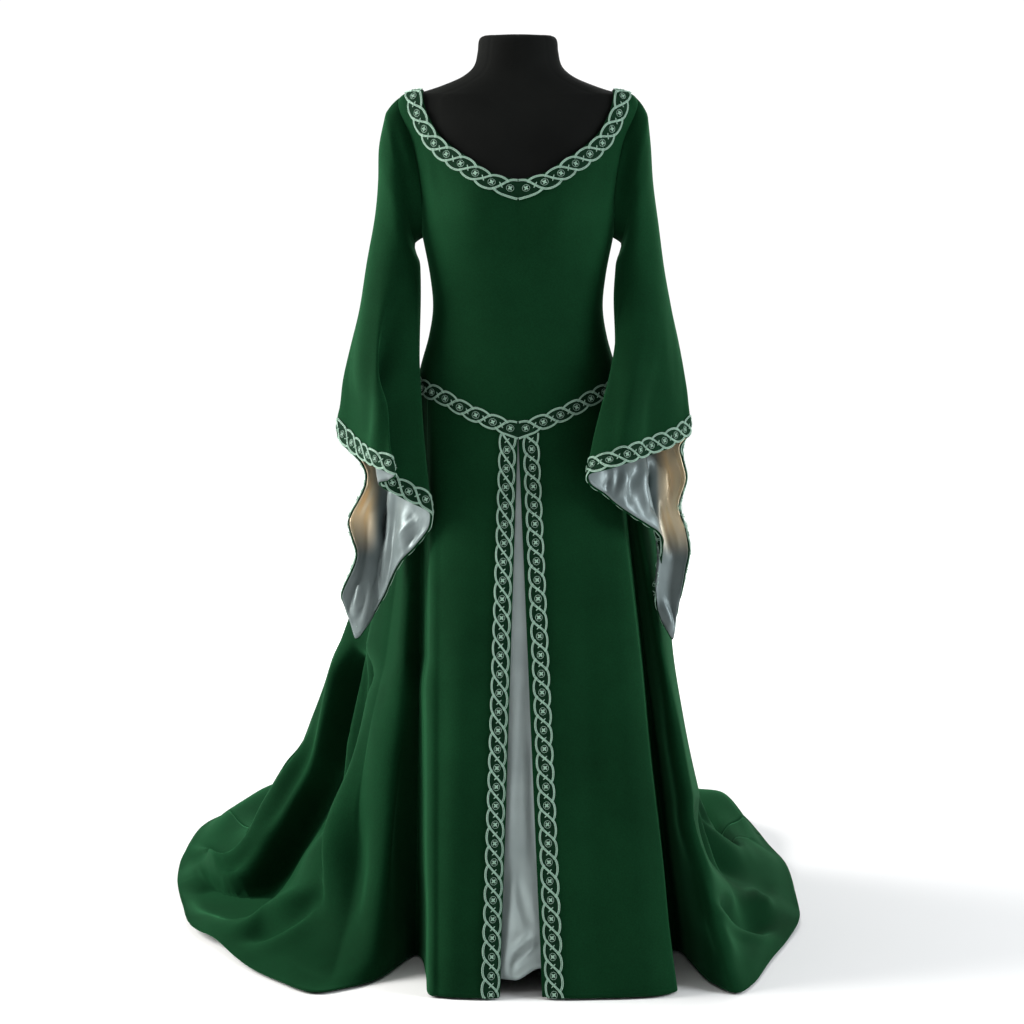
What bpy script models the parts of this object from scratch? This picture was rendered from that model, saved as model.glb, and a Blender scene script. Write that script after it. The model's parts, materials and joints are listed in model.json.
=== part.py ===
"""Medieval-style gown with bell sleeves, a satin front panel and a train, on a limbless dress form.

Metres, +Z up. The front faces -Y, and left and right are as seen from the front: left is -X.
The origin is the middle of the stand's underside, on the floor.
"""
import math

import bmesh
import bpy
import numpy as np

# Driving dimensions
FORM_BOTTOM = 0.700         # underside of the torso
UNDERARM_HEIGHT = 1.118
CLOTH = 0.0018              # green cloth
LINING = 0.0010             # silver satin
BRAID = 0.0014              # braid on the edges
GAP = 0.0003                # between pieces that touch
EASE = 0.0006               # cloth clear of the form
BRAID_WIDTH = 0.027
GIRDLE_WIDTH = 0.025
FLOOR_CLEARANCE = 0.0012    # hem over the floor

STAND_RADIUS = 0.125
STAND_THICKNESS = 0.012
POLE_RADIUS = 0.016
POLE_FOOT_RADIUS = 0.035
POLE_FOOT_HEIGHT = 0.030

GREEN = (0.018, 0.085, 0.035)
SATIN = (0.330, 0.390, 0.390)
THREAD = (0.250, 0.450, 0.330)
JERSEY = (0.012, 0.013, 0.014)
STEEL = (0.060, 0.060, 0.065)


class Table:
    """A short table with named columns, read smoothly between its rows by the first column."""

    def __init__(self, columns, rows, period=None):
        values = np.array(rows, dtype=float)
        if period:
            before = values.copy()
            before[:, 0] -= period
            after = values.copy()
            after[:, 0] += period
            values = np.vstack([before, values, after])
        self.keys = values[:, 0]
        self.columns = {name: values[:, place] for place, name in enumerate(columns)}

    def slope(self, name, place):
        keys = self.keys
        column = self.columns[name]
        low = max(place - 1, 0)
        high = min(place + 1, len(keys) - 1)
        return (column[high] - column[low]) / (keys[high] - keys[low])

    def read(self, name, key):
        keys = self.keys
        key = min(max(key, keys[0]), keys[-1])
        place = int(min(max(np.searchsorted(keys, key) - 1, 0), len(keys) - 2))
        span = keys[place + 1] - keys[place]
        t = (key - keys[place]) / span
        start = self.columns[name][place]
        end = self.columns[name][place + 1]
        lead = self.slope(name, place) * span
        tail = self.slope(name, place + 1) * span
        return ((2 * t**3 - 3 * t**2 + 1) * start + (t**3 - 2 * t**2 + t) * lead
                + (3 * t**2 - 2 * t**3) * end + (t**3 - t**2) * tail)


# The torso, a section for each height: half width, depth to the front, depth to the back
TORSO = Table(("height", "half_width", "front", "back"), [
    (0.700, 0.158, 0.108, 0.122),
    (0.780, 0.167, 0.116, 0.130),
    (0.850, 0.161, 0.113, 0.124),
    (0.920, 0.1465, 0.104, 0.108),
    (0.965, 0.134, 0.098, 0.095),
    (1.010, 0.1275, 0.094, 0.087),
    (1.060, 0.132, 0.100, 0.087),
    (1.118, 0.143, 0.113, 0.093),
    (1.165, 0.151, 0.118, 0.099),
    (1.220, 0.160, 0.108, 0.104),
    (1.270, 0.170, 0.092, 0.103),
    (1.300, 0.1785, 0.077, 0.092),
    (1.322, 0.1785, 0.066, 0.080),
    (1.331, 0.168, 0.060, 0.072),
    (1.336, 0.1435, 0.055, 0.066),
    (1.346, 0.112, 0.053, 0.062),
    (1.358, 0.084, 0.052, 0.059),
    (1.373, 0.067, 0.052, 0.056),
    (1.395, 0.0610, 0.052, 0.053),
    (1.410, 0.0595, 0.051, 0.052),
    (1.4165, 0.0560, 0.048, 0.049),
    (1.419, 0.0500, 0.043, 0.044),
])
ROUNDNESS = 2.25            # 2 is an ellipse, more is squarer
BUST_ACROSS = 0.070
BUST_HEIGHT = 1.165
BUST_REACH = 0.014
BUST_SPREAD = 0.052


def bust(x, height):
    """How far the padded bust stands out in front of the section."""
    across = (abs(x) - BUST_ACROSS) / BUST_SPREAD
    up = (height - BUST_HEIGHT) / BUST_SPREAD
    return BUST_REACH * math.exp(-across * across - up * up)


def bent_power(value, power):
    return math.copysign(abs(value) ** power, value)


def torso_point(angle, height):
    """A point on the torso: angle 0 is the front, 90 the right side, 180 the back."""
    turn = math.radians(angle)
    x = TORSO.read("half_width", height) * bent_power(math.sin(turn), 2 / ROUNDNESS)
    ahead = bent_power(math.cos(turn), 2 / ROUNDNESS)
    if ahead > 0:
        return np.array([x, -ahead * TORSO.read("front", height) - ahead * bust(x, height), height])
    return np.array([x, -ahead * TORSO.read("back", height), height])


def fullness(point):
    """Zero on the torso's surface, less inside it, more outside it."""
    x, y, height = point
    depth = TORSO.read("back", height) if y > 0 else TORSO.read("front", height) + bust(x, height)
    across = abs(x) / TORSO.read("half_width", height)
    return across ** ROUNDNESS + (abs(y) / depth) ** ROUNDNESS - 1


def climb(point):
    """The direction in which the fullness grows, and how fast."""
    step = 0.0004
    return np.array([(fullness(point + step * way) - fullness(point - step * way)) / (2 * step)
                     for way in np.eye(3)])


def over_torso(point, out=0.0, rounds=6):
    """The nearest place on the torso to a point beside it, moved out along the normal."""
    place = np.array(point, dtype=float)
    for _ in range(rounds):
        slope = climb(place)
        place = place - fullness(place) * slope / max(slope @ slope, 1.0)
    slope = climb(place)
    return place + out * slope / np.linalg.norm(slope)


def angle_at(x, height):
    """The angle on the torso's front at which it is x from the middle."""
    share = min(abs(x) / TORSO.read("half_width", height), 1.0)
    return math.copysign(math.degrees(math.asin(share ** (ROUNDNESS / 2))), x)


# Materials and objects

def material(name, colour, roughness, metallic=0.0):
    made = bpy.data.materials.new(name)
    made.use_nodes = True
    shader = made.node_tree.nodes["Principled BSDF"]
    shader.inputs["Base Color"].default_value = (*colour, 1.0)
    shader.inputs["Roughness"].default_value = roughness
    shader.inputs["Metallic"].default_value = metallic
    return made


def add_object(name, mesh_maker, finish):
    mesh = bpy.data.meshes.new(name)
    mesh_maker.to_mesh(mesh)
    mesh_maker.free()
    mesh.materials.append(finish)
    mesh.shade_smooth()
    mesh.set_sharp_from_angle(angle=math.radians(40))
    made = bpy.data.objects.new(name, mesh)
    bpy.context.scene.collection.objects.link(made)
    return made


def sheet_normals(points, ring):
    """Normals of a grid of points, from the steps to the next points along both ways."""
    along = np.gradient(points, axis=0)
    if ring:
        across = (np.roll(points, -1, axis=1) - np.roll(points, 1, axis=1)) / 2
    else:
        across = np.gradient(points, axis=1)
    normals = np.cross(along, across)
    lengths = np.linalg.norm(normals, axis=2, keepdims=True)
    return normals / np.maximum(lengths, 1e-9)


def wall(name, points, thickness, finish, ring=False, lift=0.0, normals=None):
    """A closed wall on a grid of points: its inner side is lift from them, its outer side
    that and the thickness. Rows run down the piece, columns go around it towards +X at the front."""
    if normals is None:
        normals = sheet_normals(points, ring)
    inner = points + normals * lift
    outer = points + normals * (lift + thickness)
    rows, columns = points.shape[:2]
    maker = bmesh.new()
    inside = [[maker.verts.new(inner[r, c]) for c in range(columns)] for r in range(rows)]
    outside = [[maker.verts.new(outer[r, c]) for c in range(columns)] for r in range(rows)]
    steps = columns if ring else columns - 1
    for r in range(rows - 1):
        for c in range(steps):
            d = (c + 1) % columns
            maker.faces.new((outside[r][c], outside[r][d], outside[r + 1][d], outside[r + 1][c]))
            maker.faces.new((inside[r][c], inside[r + 1][c], inside[r + 1][d], inside[r][d]))
    for c in range(steps):
        d = (c + 1) % columns
        for r, flip in ((0, False), (rows - 1, True)):
            face = (inside[r][c], inside[r][d], outside[r][d], outside[r][c])
            maker.faces.new(face[::-1] if flip else face)
    if not ring:
        for r in range(rows - 1):
            for c, flip in ((0, True), (columns - 1, False)):
                face = (inside[r][c], inside[r + 1][c], outside[r + 1][c], outside[r][c])
                maker.faces.new(face[::-1] if flip else face)
    bmesh.ops.recalc_face_normals(maker, faces=maker.faces)
    bmesh.ops.triangulate(maker, faces=maker.faces)
    return add_object(name, maker, finish)


def draw_in(points, sides, by=0.0004):
    """Moves the named edges of a grid inward, so that neighbours keep their gap at a seam."""
    drawn = points.copy()
    pairs = {"top": ((0, slice(None)), (1, slice(None))), "bottom": ((-1, slice(None)), (-2, slice(None))),
             "start": ((slice(None), 0), (slice(None), 1)), "end": ((slice(None), -1), (slice(None), -2))}
    for side in sides:
        edge, beside = pairs[side]
        step = points[beside] - points[edge]
        length = np.maximum(np.linalg.norm(step, axis=-1, keepdims=True), 1e-6)
        drawn[edge] = drawn[edge] + step / length * by
    return drawn


# Dress form and stand
FORM_COLUMNS = 28
FORM_SLACK = Table(("height", "inward"), [
    (0.700, 0.0200),
    (0.780, 0.0190),
    (0.850, 0.0085),
    (0.900, 0.0045),
    (1.270, 0.0045),
    (1.300, 0.0080),
    (1.320, 0.0150),
    (1.331, 0.0140),
    (1.336, 0.0070),
    (1.345, 0.0008),
    (1.360, 0.0000),
    (1.419, 0.0000),
])


def make_form(finish):
    """The padded torso: sections from the neck down, a little slack inside the dress, flat at each end."""
    maker = bmesh.new()
    rings = []
    for height in TORSO.keys[::-1]:
        inward = FORM_SLACK.read("inward", height)
        angles = [360 * step / FORM_COLUMNS for step in range(FORM_COLUMNS)]
        ring = [over_torso(torso_point(angle, height), -inward, rounds=0) for angle in angles]
        if height == FORM_BOTTOM:
            ring = [np.array([x, y, FORM_BOTTOM]) for x, y, _ in ring]
        rings.append([maker.verts.new(point) for point in ring])
    for upper, lower in zip(rings, rings[1:]):
        for c in range(FORM_COLUMNS):
            d = (c + 1) % FORM_COLUMNS
            maker.faces.new((upper[c], lower[c], lower[d], upper[d]))
    maker.faces.new(rings[0])
    maker.faces.new(rings[-1][::-1])
    bmesh.ops.recalc_face_normals(maker, faces=maker.faces)
    return add_object("dress_form", maker, finish)


def turned(name, low, high, radius, finish, sides=32):
    """A round disc or rod standing between two heights."""
    maker = bmesh.new()
    bmesh.ops.create_cone(maker, cap_ends=True, segments=sides, radius1=radius, radius2=radius,
                          depth=high - low)
    bmesh.ops.translate(maker, verts=maker.verts, vec=(0, 0, (low + high) / 2))
    return add_object(name, maker, finish)


def make_stand(finish):
    turned("stand_base", 0, STAND_THICKNESS, STAND_RADIUS, finish, sides=40)
    foot_top = STAND_THICKNESS + POLE_FOOT_HEIGHT
    turned("stand_collar", STAND_THICKNESS + GAP, foot_top, POLE_FOOT_RADIUS, finish)
    turned("stand_pole", foot_top + GAP, FORM_BOTTOM - GAP, POLE_RADIUS, finish, sides=20)


# Bodice: front and back, cut between the girdle, the side seams, the armholes and the neckline
GIRDLE = Table(("angle", "height"), [
    (0, 0.832),
    (25, 0.859),
    (47, 0.881),
    (90, 0.897),
    (135, 0.901),
    (180, 0.901),
])
NECK_FRONT = Table(("share", "across", "height"), [
    (0.00, 0.1435, 1.336),
    (0.12, 0.1400, 1.3134),
    (0.25, 0.1300, 1.290),
    (0.36, 0.1170, 1.270),
    (0.50, 0.0940, 1.250),
    (0.64, 0.0680, 1.233),
    (0.80, 0.0405, 1.2145),
    (0.93, 0.0145, 1.2065),
    (1.00, 0.0000, 1.2040),
])
NECK_BACK = Table(("share", "across", "height"), [
    (0.00, 0.1435, 1.336),
    (0.15, 0.1380, 1.322),
    (0.35, 0.1180, 1.306),
    (0.55, 0.0880, 1.296),
    (0.75, 0.0520, 1.289),
    (1.00, 0.0000, 1.286),
])
ARMHOLE = Table(("share", "angle", "height"), [
    (0.00, 90, 1.325),
    (0.12, 79, 1.304),
    (0.30, 70, 1.270),
    (0.50, 67, 1.225),
    (0.70, 69, 1.180),
    (0.85, 76, 1.142),
    (1.00, 90, 1.118),
])
ARM_ROWS = 8                # rows of faces beside the armhole, closer towards the shoulder
SIDE_ROWS = 6               # rows of faces below it
SHOULDER_COLUMNS = 2        # columns of faces over each shoulder
BODICE_COLUMNS = 18


def girdle_height(angle):
    return GIRDLE.read("height", abs(angle))


def on_torso(angle, height, back):
    return torso_point(180 - angle if back else angle, height)


def armhole_at(share, back=False):
    """A point of the right armhole, share 0 at the shoulder tip and 1 at the underarm."""
    return on_torso(ARMHOLE.read("angle", share), ARMHOLE.read("height", share), back)


def neck_at(share, back=False):
    """A point of the neckline's right half, share 0 at the shoulder and 1 at the middle."""
    table = NECK_BACK if back else NECK_FRONT
    height = table.read("height", share)
    return on_torso(angle_at(table.read("across", share), height), height, back)


def girdle_at(angle, back=False):
    return on_torso(angle, girdle_height(180 - angle if back else angle), back)


def half_top(share, back):
    """The top edge of half a bodice piece, from the middle (0) to the shoulder tip (1)."""
    corner = 1 - 2 * SHOULDER_COLUMNS / BODICE_COLUMNS
    if share <= corner:
        return neck_at(1 - share / corner, back)
    along = (share - corner) / (1 - corner)
    return over_torso(neck_at(0, back) * (1 - along) + armhole_at(0, back) * along)


def half_side(share, back):
    """The outer edge of half a bodice piece, from the shoulder tip (0) to the girdle (1)."""
    corner = ARM_ROWS / (ARM_ROWS + SIDE_ROWS)
    if share <= corner:
        return armhole_at(share / corner, back)
    along = (share - corner) / (1 - corner)
    return on_torso(90, UNDERARM_HEIGHT + (girdle_height(90) - UNDERARM_HEIGHT) * along, back)


def half_middle(share, back):
    top = NECK_BACK.read("height", 1) if back else NECK_FRONT.read("height", 1)
    low = girdle_height(180 if back else 0)
    return on_torso(0, top + (low - top) * share, back)


def bodice_point(across, down, out, back=False):
    """A point of a piece, across it (-1 to 1) and down it (0 to 1), out from the torso."""
    side = abs(across)
    corners = ((1 - side) * (1 - down) * half_top(0, back) + side * (1 - down) * half_top(1, back)
               + (1 - side) * down * girdle_at(0, back) + side * down * girdle_at(90, back))
    place = ((1 - down) * half_top(side, back) + down * girdle_at(90 * side, back)
             + (1 - side) * half_middle(down, back) + side * half_side(down, back) - corners)
    place = over_torso(place, out)
    if across < 0:
        place[0] = -place[0]
    return place


def make_bodice(name, finish, back=False):
    corner = ARM_ROWS / (ARM_ROWS + SIDE_ROWS)
    shares = [corner * (step / ARM_ROWS) ** 2 for step in range(ARM_ROWS)]
    shares += [corner + (1 - corner) * step / SIDE_ROWS for step in range(SIDE_ROWS + 1)]
    grid = []
    for down in shares:
        line = []
        for c in range(BODICE_COLUMNS + 1):
            across = 2 * c / BODICE_COLUMNS - 1
            line.append(bodice_point(-across if back else across, down, EASE, back))
        grid.append(line)
    points = draw_in(np.array(grid), ("top", "start", "end", "bottom"))
    return wall(name, points, CLOTH, finish)


# Sleeves: rings down an empty, softly filled sleeve, each cut off at its own hem height
SLEEVE_TOP = 1.33
SLEEVE_COLUMNS = ("down", "outer_x", "outer_z", "inner_x", "inner_z", "y", "half_depth", "yaw")
SLEEVE_LEFT = Table(SLEEVE_COLUMNS, [
    (0.060, -0.1990, 1.302, -0.1580, 1.108, 0.000, 0.060, 0),
    (0.110, -0.2090, 1.253, -0.1585, 1.098, 0.000, 0.062, 0),
    (0.155, -0.2110, 1.203, -0.1555, 1.088, 0.000, 0.062, 0),
    (0.205, -0.2165, 1.145, -0.1510, 1.078, -0.002, 0.062, 2),
    (0.260, -0.2290, 1.078, -0.1500, 1.062, -0.006, 0.063, 5),
    (0.315, -0.2395, 1.015, -0.1500, 1.015, -0.014, 0.067, 10),
    (0.368, -0.2505, 0.962, -0.1500, 0.962, -0.027, 0.073, 15),
    (0.418, -0.2595, 0.912, -0.1500, 0.912, -0.042, 0.080, 22),
    (0.457, -0.2660, 0.873, -0.1490, 0.873, -0.058, 0.088, 31),
    (0.517, -0.2750, 0.813, -0.1440, 0.813, -0.078, 0.096, 36),
    (0.570, -0.2720, 0.760, -0.1370, 0.760, -0.101, 0.096, 40),
    (0.630, -0.2640, 0.700, -0.1320, 0.700, -0.119, 0.090, 42),
    (0.710, -0.2620, 0.620, -0.1500, 0.620, -0.126, 0.074, 43),
    (0.790, -0.2690, 0.540, -0.1750, 0.540, -0.131, 0.060, 43),
    (0.870, -0.2640, 0.460, -0.2000, 0.460, -0.135, 0.044, 43),
])
SLEEVE_RIGHT = Table(SLEEVE_COLUMNS, [
    (0.060, 0.1950, 1.300, 0.1585, 1.108, 0.000, 0.060, 0),
    (0.110, 0.2000, 1.253, 0.1590, 1.098, 0.000, 0.062, 0),
    (0.155, 0.2035, 1.203, 0.1555, 1.088, 0.000, 0.062, 0),
    (0.205, 0.2115, 1.145, 0.1510, 1.078, -0.002, 0.062, 2),
    (0.260, 0.2210, 1.072, 0.1490, 1.056, -0.006, 0.063, 6),
    (0.315, 0.2300, 1.015, 0.1455, 1.015, -0.015, 0.067, 12),
    (0.368, 0.2385, 0.962, 0.1430, 0.962, -0.030, 0.073, 20),
    (0.418, 0.2460, 0.912, 0.1380, 0.912, -0.051, 0.085, 27),
    (0.457, 0.2530, 0.873, 0.1310, 0.873, -0.068, 0.094, 33),
    (0.517, 0.2590, 0.813, 0.1190, 0.813, -0.088, 0.1015, 38),
    (0.570, 0.2590, 0.760, 0.1120, 0.760, -0.112, 0.104, 42),
    (0.630, 0.2560, 0.700, 0.1250, 0.700, -0.127, 0.092, 44),
    (0.710, 0.2560, 0.620, 0.1500, 0.620, -0.133, 0.072, 44),
    (0.790, 0.2540, 0.540, 0.1720, 0.540, -0.142, 0.055, 44),
    (0.870, 0.2480, 0.460, 0.1900, 0.460, -0.150, 0.040, 44),
])
# Turn around a sleeve: 0 is its outer side, 90 the front, 180 the side by the body, 270 the back
HEM_LEFT = Table(("turn", "height"), [
    (15, 0.805), (45, 0.790), (75, 0.768), (105, 0.742), (135, 0.722), (160, 0.700),
    (178, 0.672), (188, 0.650), (200, 0.630), (214, 0.600), (222, 0.580), (235, 0.530),
    (250, 0.495), (268, 0.473), (285, 0.515), (305, 0.590), (328, 0.695), (350, 0.780),
], period=360)
HEM_RIGHT = Table(("turn", "height"), [
    (15, 0.815), (45, 0.805), (75, 0.795), (105, 0.788), (135, 0.780), (160, 0.773),
    (180, 0.755), (200, 0.712), (214, 0.690), (228, 0.676), (241, 0.650), (249, 0.600),
    (257, 0.550), (266, 0.515), (277, 0.498), (292, 0.540), (310, 0.610), (330, 0.710),
    (350, 0.790),
], period=360)
HEAD = 0.060                # length of the rounded sleeve head, from the armhole to the first ring
SLEEVE_SEAM = 0.0042        # the sleeve's inner side over the torso at the armhole seam
SLEEVE_ROWS = 9            # rows of faces above the cuff's braid
LINING_ROWS = 5             # of these, from the bottom, the ones that are lined
SLEEVE_AROUND = 28
LONGEST_BRAID = 0.055       # down the sleeve, where the hem is steepest


def sleeve_ring(table, down, turn):
    """A point on the ring at a length down the sleeve."""
    side = -1.0 if table is SLEEVE_LEFT else 1.0
    outer = np.array([table.read("outer_x", down), 0.0, table.read("outer_z", down)])
    inner = np.array([table.read("inner_x", down), 0.0, table.read("inner_z", down)])
    centre = (outer + inner) / 2
    centre[1] = table.read("y", down)
    half = (outer - inner) / 2
    depth = table.read("half_depth", down)
    yaw = math.radians(table.read("yaw", down))
    seen = abs(half[0])
    share = math.sqrt(max(seen**2 - (depth * math.sin(yaw))**2, (0.35 * seen)**2)) / seen / math.cos(yaw)
    across = np.array([half[0] * share * math.cos(yaw), -abs(half[0]) * share * math.sin(yaw), half[2]])
    ahead = np.array([-side * math.sin(yaw), -math.cos(yaw), 0.0]) * depth
    around = math.radians(turn)
    return centre + across * math.cos(around) + ahead * math.sin(around)


def sleeve_head(table, down, turn):
    """Between the armhole and the first ring: a quadratic curve that meets the ring smoothly."""
    turned_back = turn % 360
    back = turned_back > 180
    share = (360 - turned_back if back else turned_back) / 180
    start = over_torso(armhole_at(share, back), SLEEVE_SEAM, rounds=1)
    if table is SLEEVE_LEFT:
        start[0] = -start[0]
    end = sleeve_ring(table, HEAD, turn)
    slope = (sleeve_ring(table, HEAD + 0.01, turn) - end) / 0.01
    middle = (end - slope * HEAD / 2 + (start + end) / 2) / 2
    t = down / HEAD
    return (1 - t)**2 * start + 2 * t * (1 - t) * middle + t**2 * end


def sleeve_point(table, down, turn):
    if down < HEAD:
        return sleeve_head(table, down, turn)
    return sleeve_ring(table, down, turn)


def hem_down(table, turn):
    """How far down the sleeve its hem lies at this turn."""
    hem = HEM_LEFT if table is SLEEVE_LEFT else HEM_RIGHT
    return SLEEVE_TOP - hem.read("height", turn % 360)


def sleeve_turns(table):
    """The turns of the columns, so that they run towards +X at the front on both sleeves."""
    turns = [360 * step / SLEEVE_AROUND for step in range(SLEEVE_AROUND)]
    return turns if table is SLEEVE_LEFT else turns[::-1]


def braid_down(table, turn):
    """How far down the sleeve the braid's upper edge lies, its width measured square to the hem."""
    step = 3.0
    down = hem_down(table, turn)
    ahead = sleeve_point(table, hem_down(table, turn + step), turn + step)
    behind = sleeve_point(table, hem_down(table, turn - step), turn - step)
    rise = abs(ahead[2] - behind[2])
    level = max(math.hypot(ahead[0] - behind[0], ahead[1] - behind[1]), 1e-6)
    return down - min(BRAID_WIDTH * math.hypot(1, rise / level), LONGEST_BRAID)


def sleeve_grid(table):
    """The sleeve's points: evenly down to the braid's upper edge, and one more row at the hem."""
    turns = sleeve_turns(table)
    grid = []
    for r in range(SLEEVE_ROWS + 1):
        grid.append([sleeve_point(table, braid_down(table, turn) * r / SLEEVE_ROWS, turn) for turn in turns])
    grid.append([sleeve_point(table, hem_down(table, turn), turn) for turn in turns])
    return np.array(grid)


def make_sleeve(side, green, satin, braid):
    """A sleeve with its lining, which shows in the cuff, and the braid round its hem."""
    points = sleeve_grid(SLEEVE_LEFT if side == "left" else SLEEVE_RIGHT)
    normals = sheet_normals(points, ring=True)
    wall("sleeve_" + side, points, CLOTH, green, ring=True, normals=normals)
    lined = points[-LINING_ROWS - 2:]
    wall("sleeve_lining_" + side, draw_in(lined, ("bottom",), by=0.003), LINING, satin, ring=True,
         lift=-LINING - GAP, normals=normals[-LINING_ROWS - 2:])
    wall("cuff_trim_" + side, points[-2:], BRAID, braid, ring=True, lift=CLOTH + GAP, normals=normals[-2:])


# Skirt: columns of cloth that hang from the girdle seam, land on the floor and run out to the hem.
# The angle is where a column leaves the hips, 0 at the front and 180 at the back.
SKIRT_COLUMNS = ("angle", "land_x", "land_y", "hem_x", "hem_y")
SKIRT_LEFT = Table(SKIRT_COLUMNS, [
    (0, -0.027, -0.262, -0.027, -0.262),
    (15, -0.052, -0.268, -0.052, -0.268),
    (30, -0.085, -0.266, -0.085, -0.266),
    (45, -0.117, -0.258, -0.117, -0.258),
    (55, -0.134, -0.240, -0.134, -0.240),
    (60, -0.140, -0.120, -0.140, -0.120),
    (63.5, -0.146, -0.025, -0.146, -0.025),
    (66.5, -0.158, 0.006, -0.158, 0.008),
    (69.5, -0.172, -0.015, -0.172, -0.020),
    (73, -0.189, -0.055, -0.190, -0.095),
    (76, -0.212, -0.065, -0.217, -0.175),
    (78, -0.240, -0.040, -0.255, -0.215),
    (82, -0.285, 0.000, -0.310, -0.240),
    (86, -0.325, 0.060, -0.370, -0.180),
    (90, -0.345, 0.110, -0.425, -0.105),
    (94, -0.340, 0.170, -0.475, -0.010),
    (98, -0.330, 0.220, -0.525, 0.080),
    (103, -0.350, 0.270, -0.555, 0.220),
    (109, -0.400, 0.320, -0.580, 0.370),
    (116, -0.445, 0.390, -0.595, 0.540),
    (124, -0.455, 0.460, -0.580, 0.730),
    (134, -0.410, 0.520, -0.520, 0.920),
    (148, -0.290, 0.560, -0.380, 1.080),
    (164, -0.140, 0.560, -0.200, 1.170),
    (180, 0.000, 0.540, 0.000, 1.190),
])
SKIRT_RIGHT = Table(SKIRT_COLUMNS, [
    (0, 0.036, -0.262, 0.036, -0.262),
    (15, 0.070, -0.268, 0.070, -0.268),
    (30, 0.115, -0.268, 0.115, -0.268),
    (45, 0.170, -0.262, 0.170, -0.262),
    (58, 0.236, -0.238, 0.236, -0.238),
    (64, 0.242, -0.150, 0.242, -0.150),
    (69, 0.245, -0.045, 0.246, -0.070),
    (74, 0.266, -0.050, 0.270, -0.070),
    (79, 0.288, -0.110, 0.298, -0.170),
    (84, 0.308, -0.130, 0.326, -0.235),
    (89, 0.322, -0.060, 0.356, -0.190),
    (94, 0.326, 0.040, 0.388, -0.085),
    (99, 0.320, 0.150, 0.425, 0.020),
    (105, 0.330, 0.220, 0.458, 0.140),
    (112, 0.350, 0.300, 0.470, 0.300),
    (120, 0.360, 0.380, 0.465, 0.500),
    (130, 0.340, 0.460, 0.440, 0.710),
    (144, 0.250, 0.530, 0.370, 0.930),
    (162, 0.120, 0.550, 0.200, 1.130),
    (180, 0.000, 0.540, 0.000, 1.190),
])
LEFT_SEAM = 60              # side seams between the front panels and the side panels
RIGHT_SEAM = 63
BACK_SEAM = 128             # seams between the side panels and the train
SKIRT_ROWS = 12
FRONT_COLUMNS = 11
SIDE_COLUMNS = 20
BACK_COLUMNS = 22
SOFT_LANDING = 0.22         # run on the floor from which a column lands in a full curve


def skirt_place(angle):
    """Where a column leaves the hips, where it lands and its hem."""
    table = SKIRT_LEFT if angle < 0 else SKIRT_RIGHT
    key = abs(angle)
    hips = over_torso(torso_point(angle, girdle_height(angle)), EASE, rounds=1)
    land = np.array([table.read("land_x", key), table.read("land_y", key), FLOOR_CLEARANCE])
    hem = np.array([table.read("hem_x", key), table.read("hem_y", key), FLOOR_CLEARANCE])
    return hips, land, hem


def skirt_point(angle, share):
    """A point of the skirt's inner side, at a share of the column's curve from hips to hem."""
    hips, land, hem = skirt_place(angle)
    run = min(np.linalg.norm(hem - land) / SOFT_LANDING, 1.0)
    drop = hips[2] - FLOOR_CLEARANCE
    thigh = hips + (land - hips) * np.array([0.30, 0.30, 0.34])
    shin = hips + (land - hips) * np.array([0.86, 0.86, 1.0])
    shin[2] = FLOOR_CLEARANCE + 0.07 * drop
    landed = [hips, thigh, shin, land, hem]
    straight = [hips + (hem - hips) * step / 4 for step in range(5)]
    weights = [math.comb(4, step) * share**step * (1 - share)**(4 - step) for step in range(5)]
    return sum(weight * (run * a + (1 - run) * b) for weight, a, b in zip(weights, landed, straight))


def skirt_panel(name, start, end, columns, finish, edges=("top", "start", "end")):
    """A panel of the skirt between two angles; angles run from the left (-180) to the right."""
    grid = [[skirt_point(start + (end - start) * c / columns, r / SKIRT_ROWS) for c in range(columns + 1)]
            for r in range(SKIRT_ROWS + 1)]
    return wall(name, draw_in(np.array(grid), edges), CLOTH, finish)


def make_skirt(finish):
    skirt_panel("skirt_front_left", -LEFT_SEAM, -0.001, FRONT_COLUMNS, finish)
    skirt_panel("skirt_front_right", 0.001, RIGHT_SEAM, FRONT_COLUMNS, finish)
    skirt_panel("skirt_side_left", -BACK_SEAM, -LEFT_SEAM, SIDE_COLUMNS, finish)
    skirt_panel("skirt_side_right", RIGHT_SEAM, BACK_SEAM, SIDE_COLUMNS, finish)
    skirt_back(finish)


def skirt_back(finish):
    """The train, from the right back seam round the back to the left one."""
    angles = [BACK_SEAM + (360 - 2 * BACK_SEAM) * c / BACK_COLUMNS for c in range(BACK_COLUMNS + 1)]
    grid = [[skirt_point(angle if angle <= 180 else angle - 360, r / SKIRT_ROWS) for angle in angles]
            for r in range(SKIRT_ROWS + 1)]
    return wall("skirt_back", draw_in(np.array(grid), ("top", "start", "end")), CLOTH, finish)


# Satin panel that shows in the slit, sewn in under the front panels
SATIN_LEFT = -24            # angles at the hips between which it is sewn in
SATIN_RIGHT = 26
SATIN_HEM_LEFT = -0.085
SATIN_HEM_RIGHT = 0.105
SATIN_HEM_Y = -0.230
SATIN_HEM_HEIGHT = 0.020
SATIN_WAVES = 3
SATIN_WAVE = 0.005
SATIN_TUCK = 0.003          # its top edge under the girdle seam
SATIN_INWARD = 0.0008       # its inner side inside the torso's surface there
SATIN_COLUMNS = 14
SATIN_ROWS = 12


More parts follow.
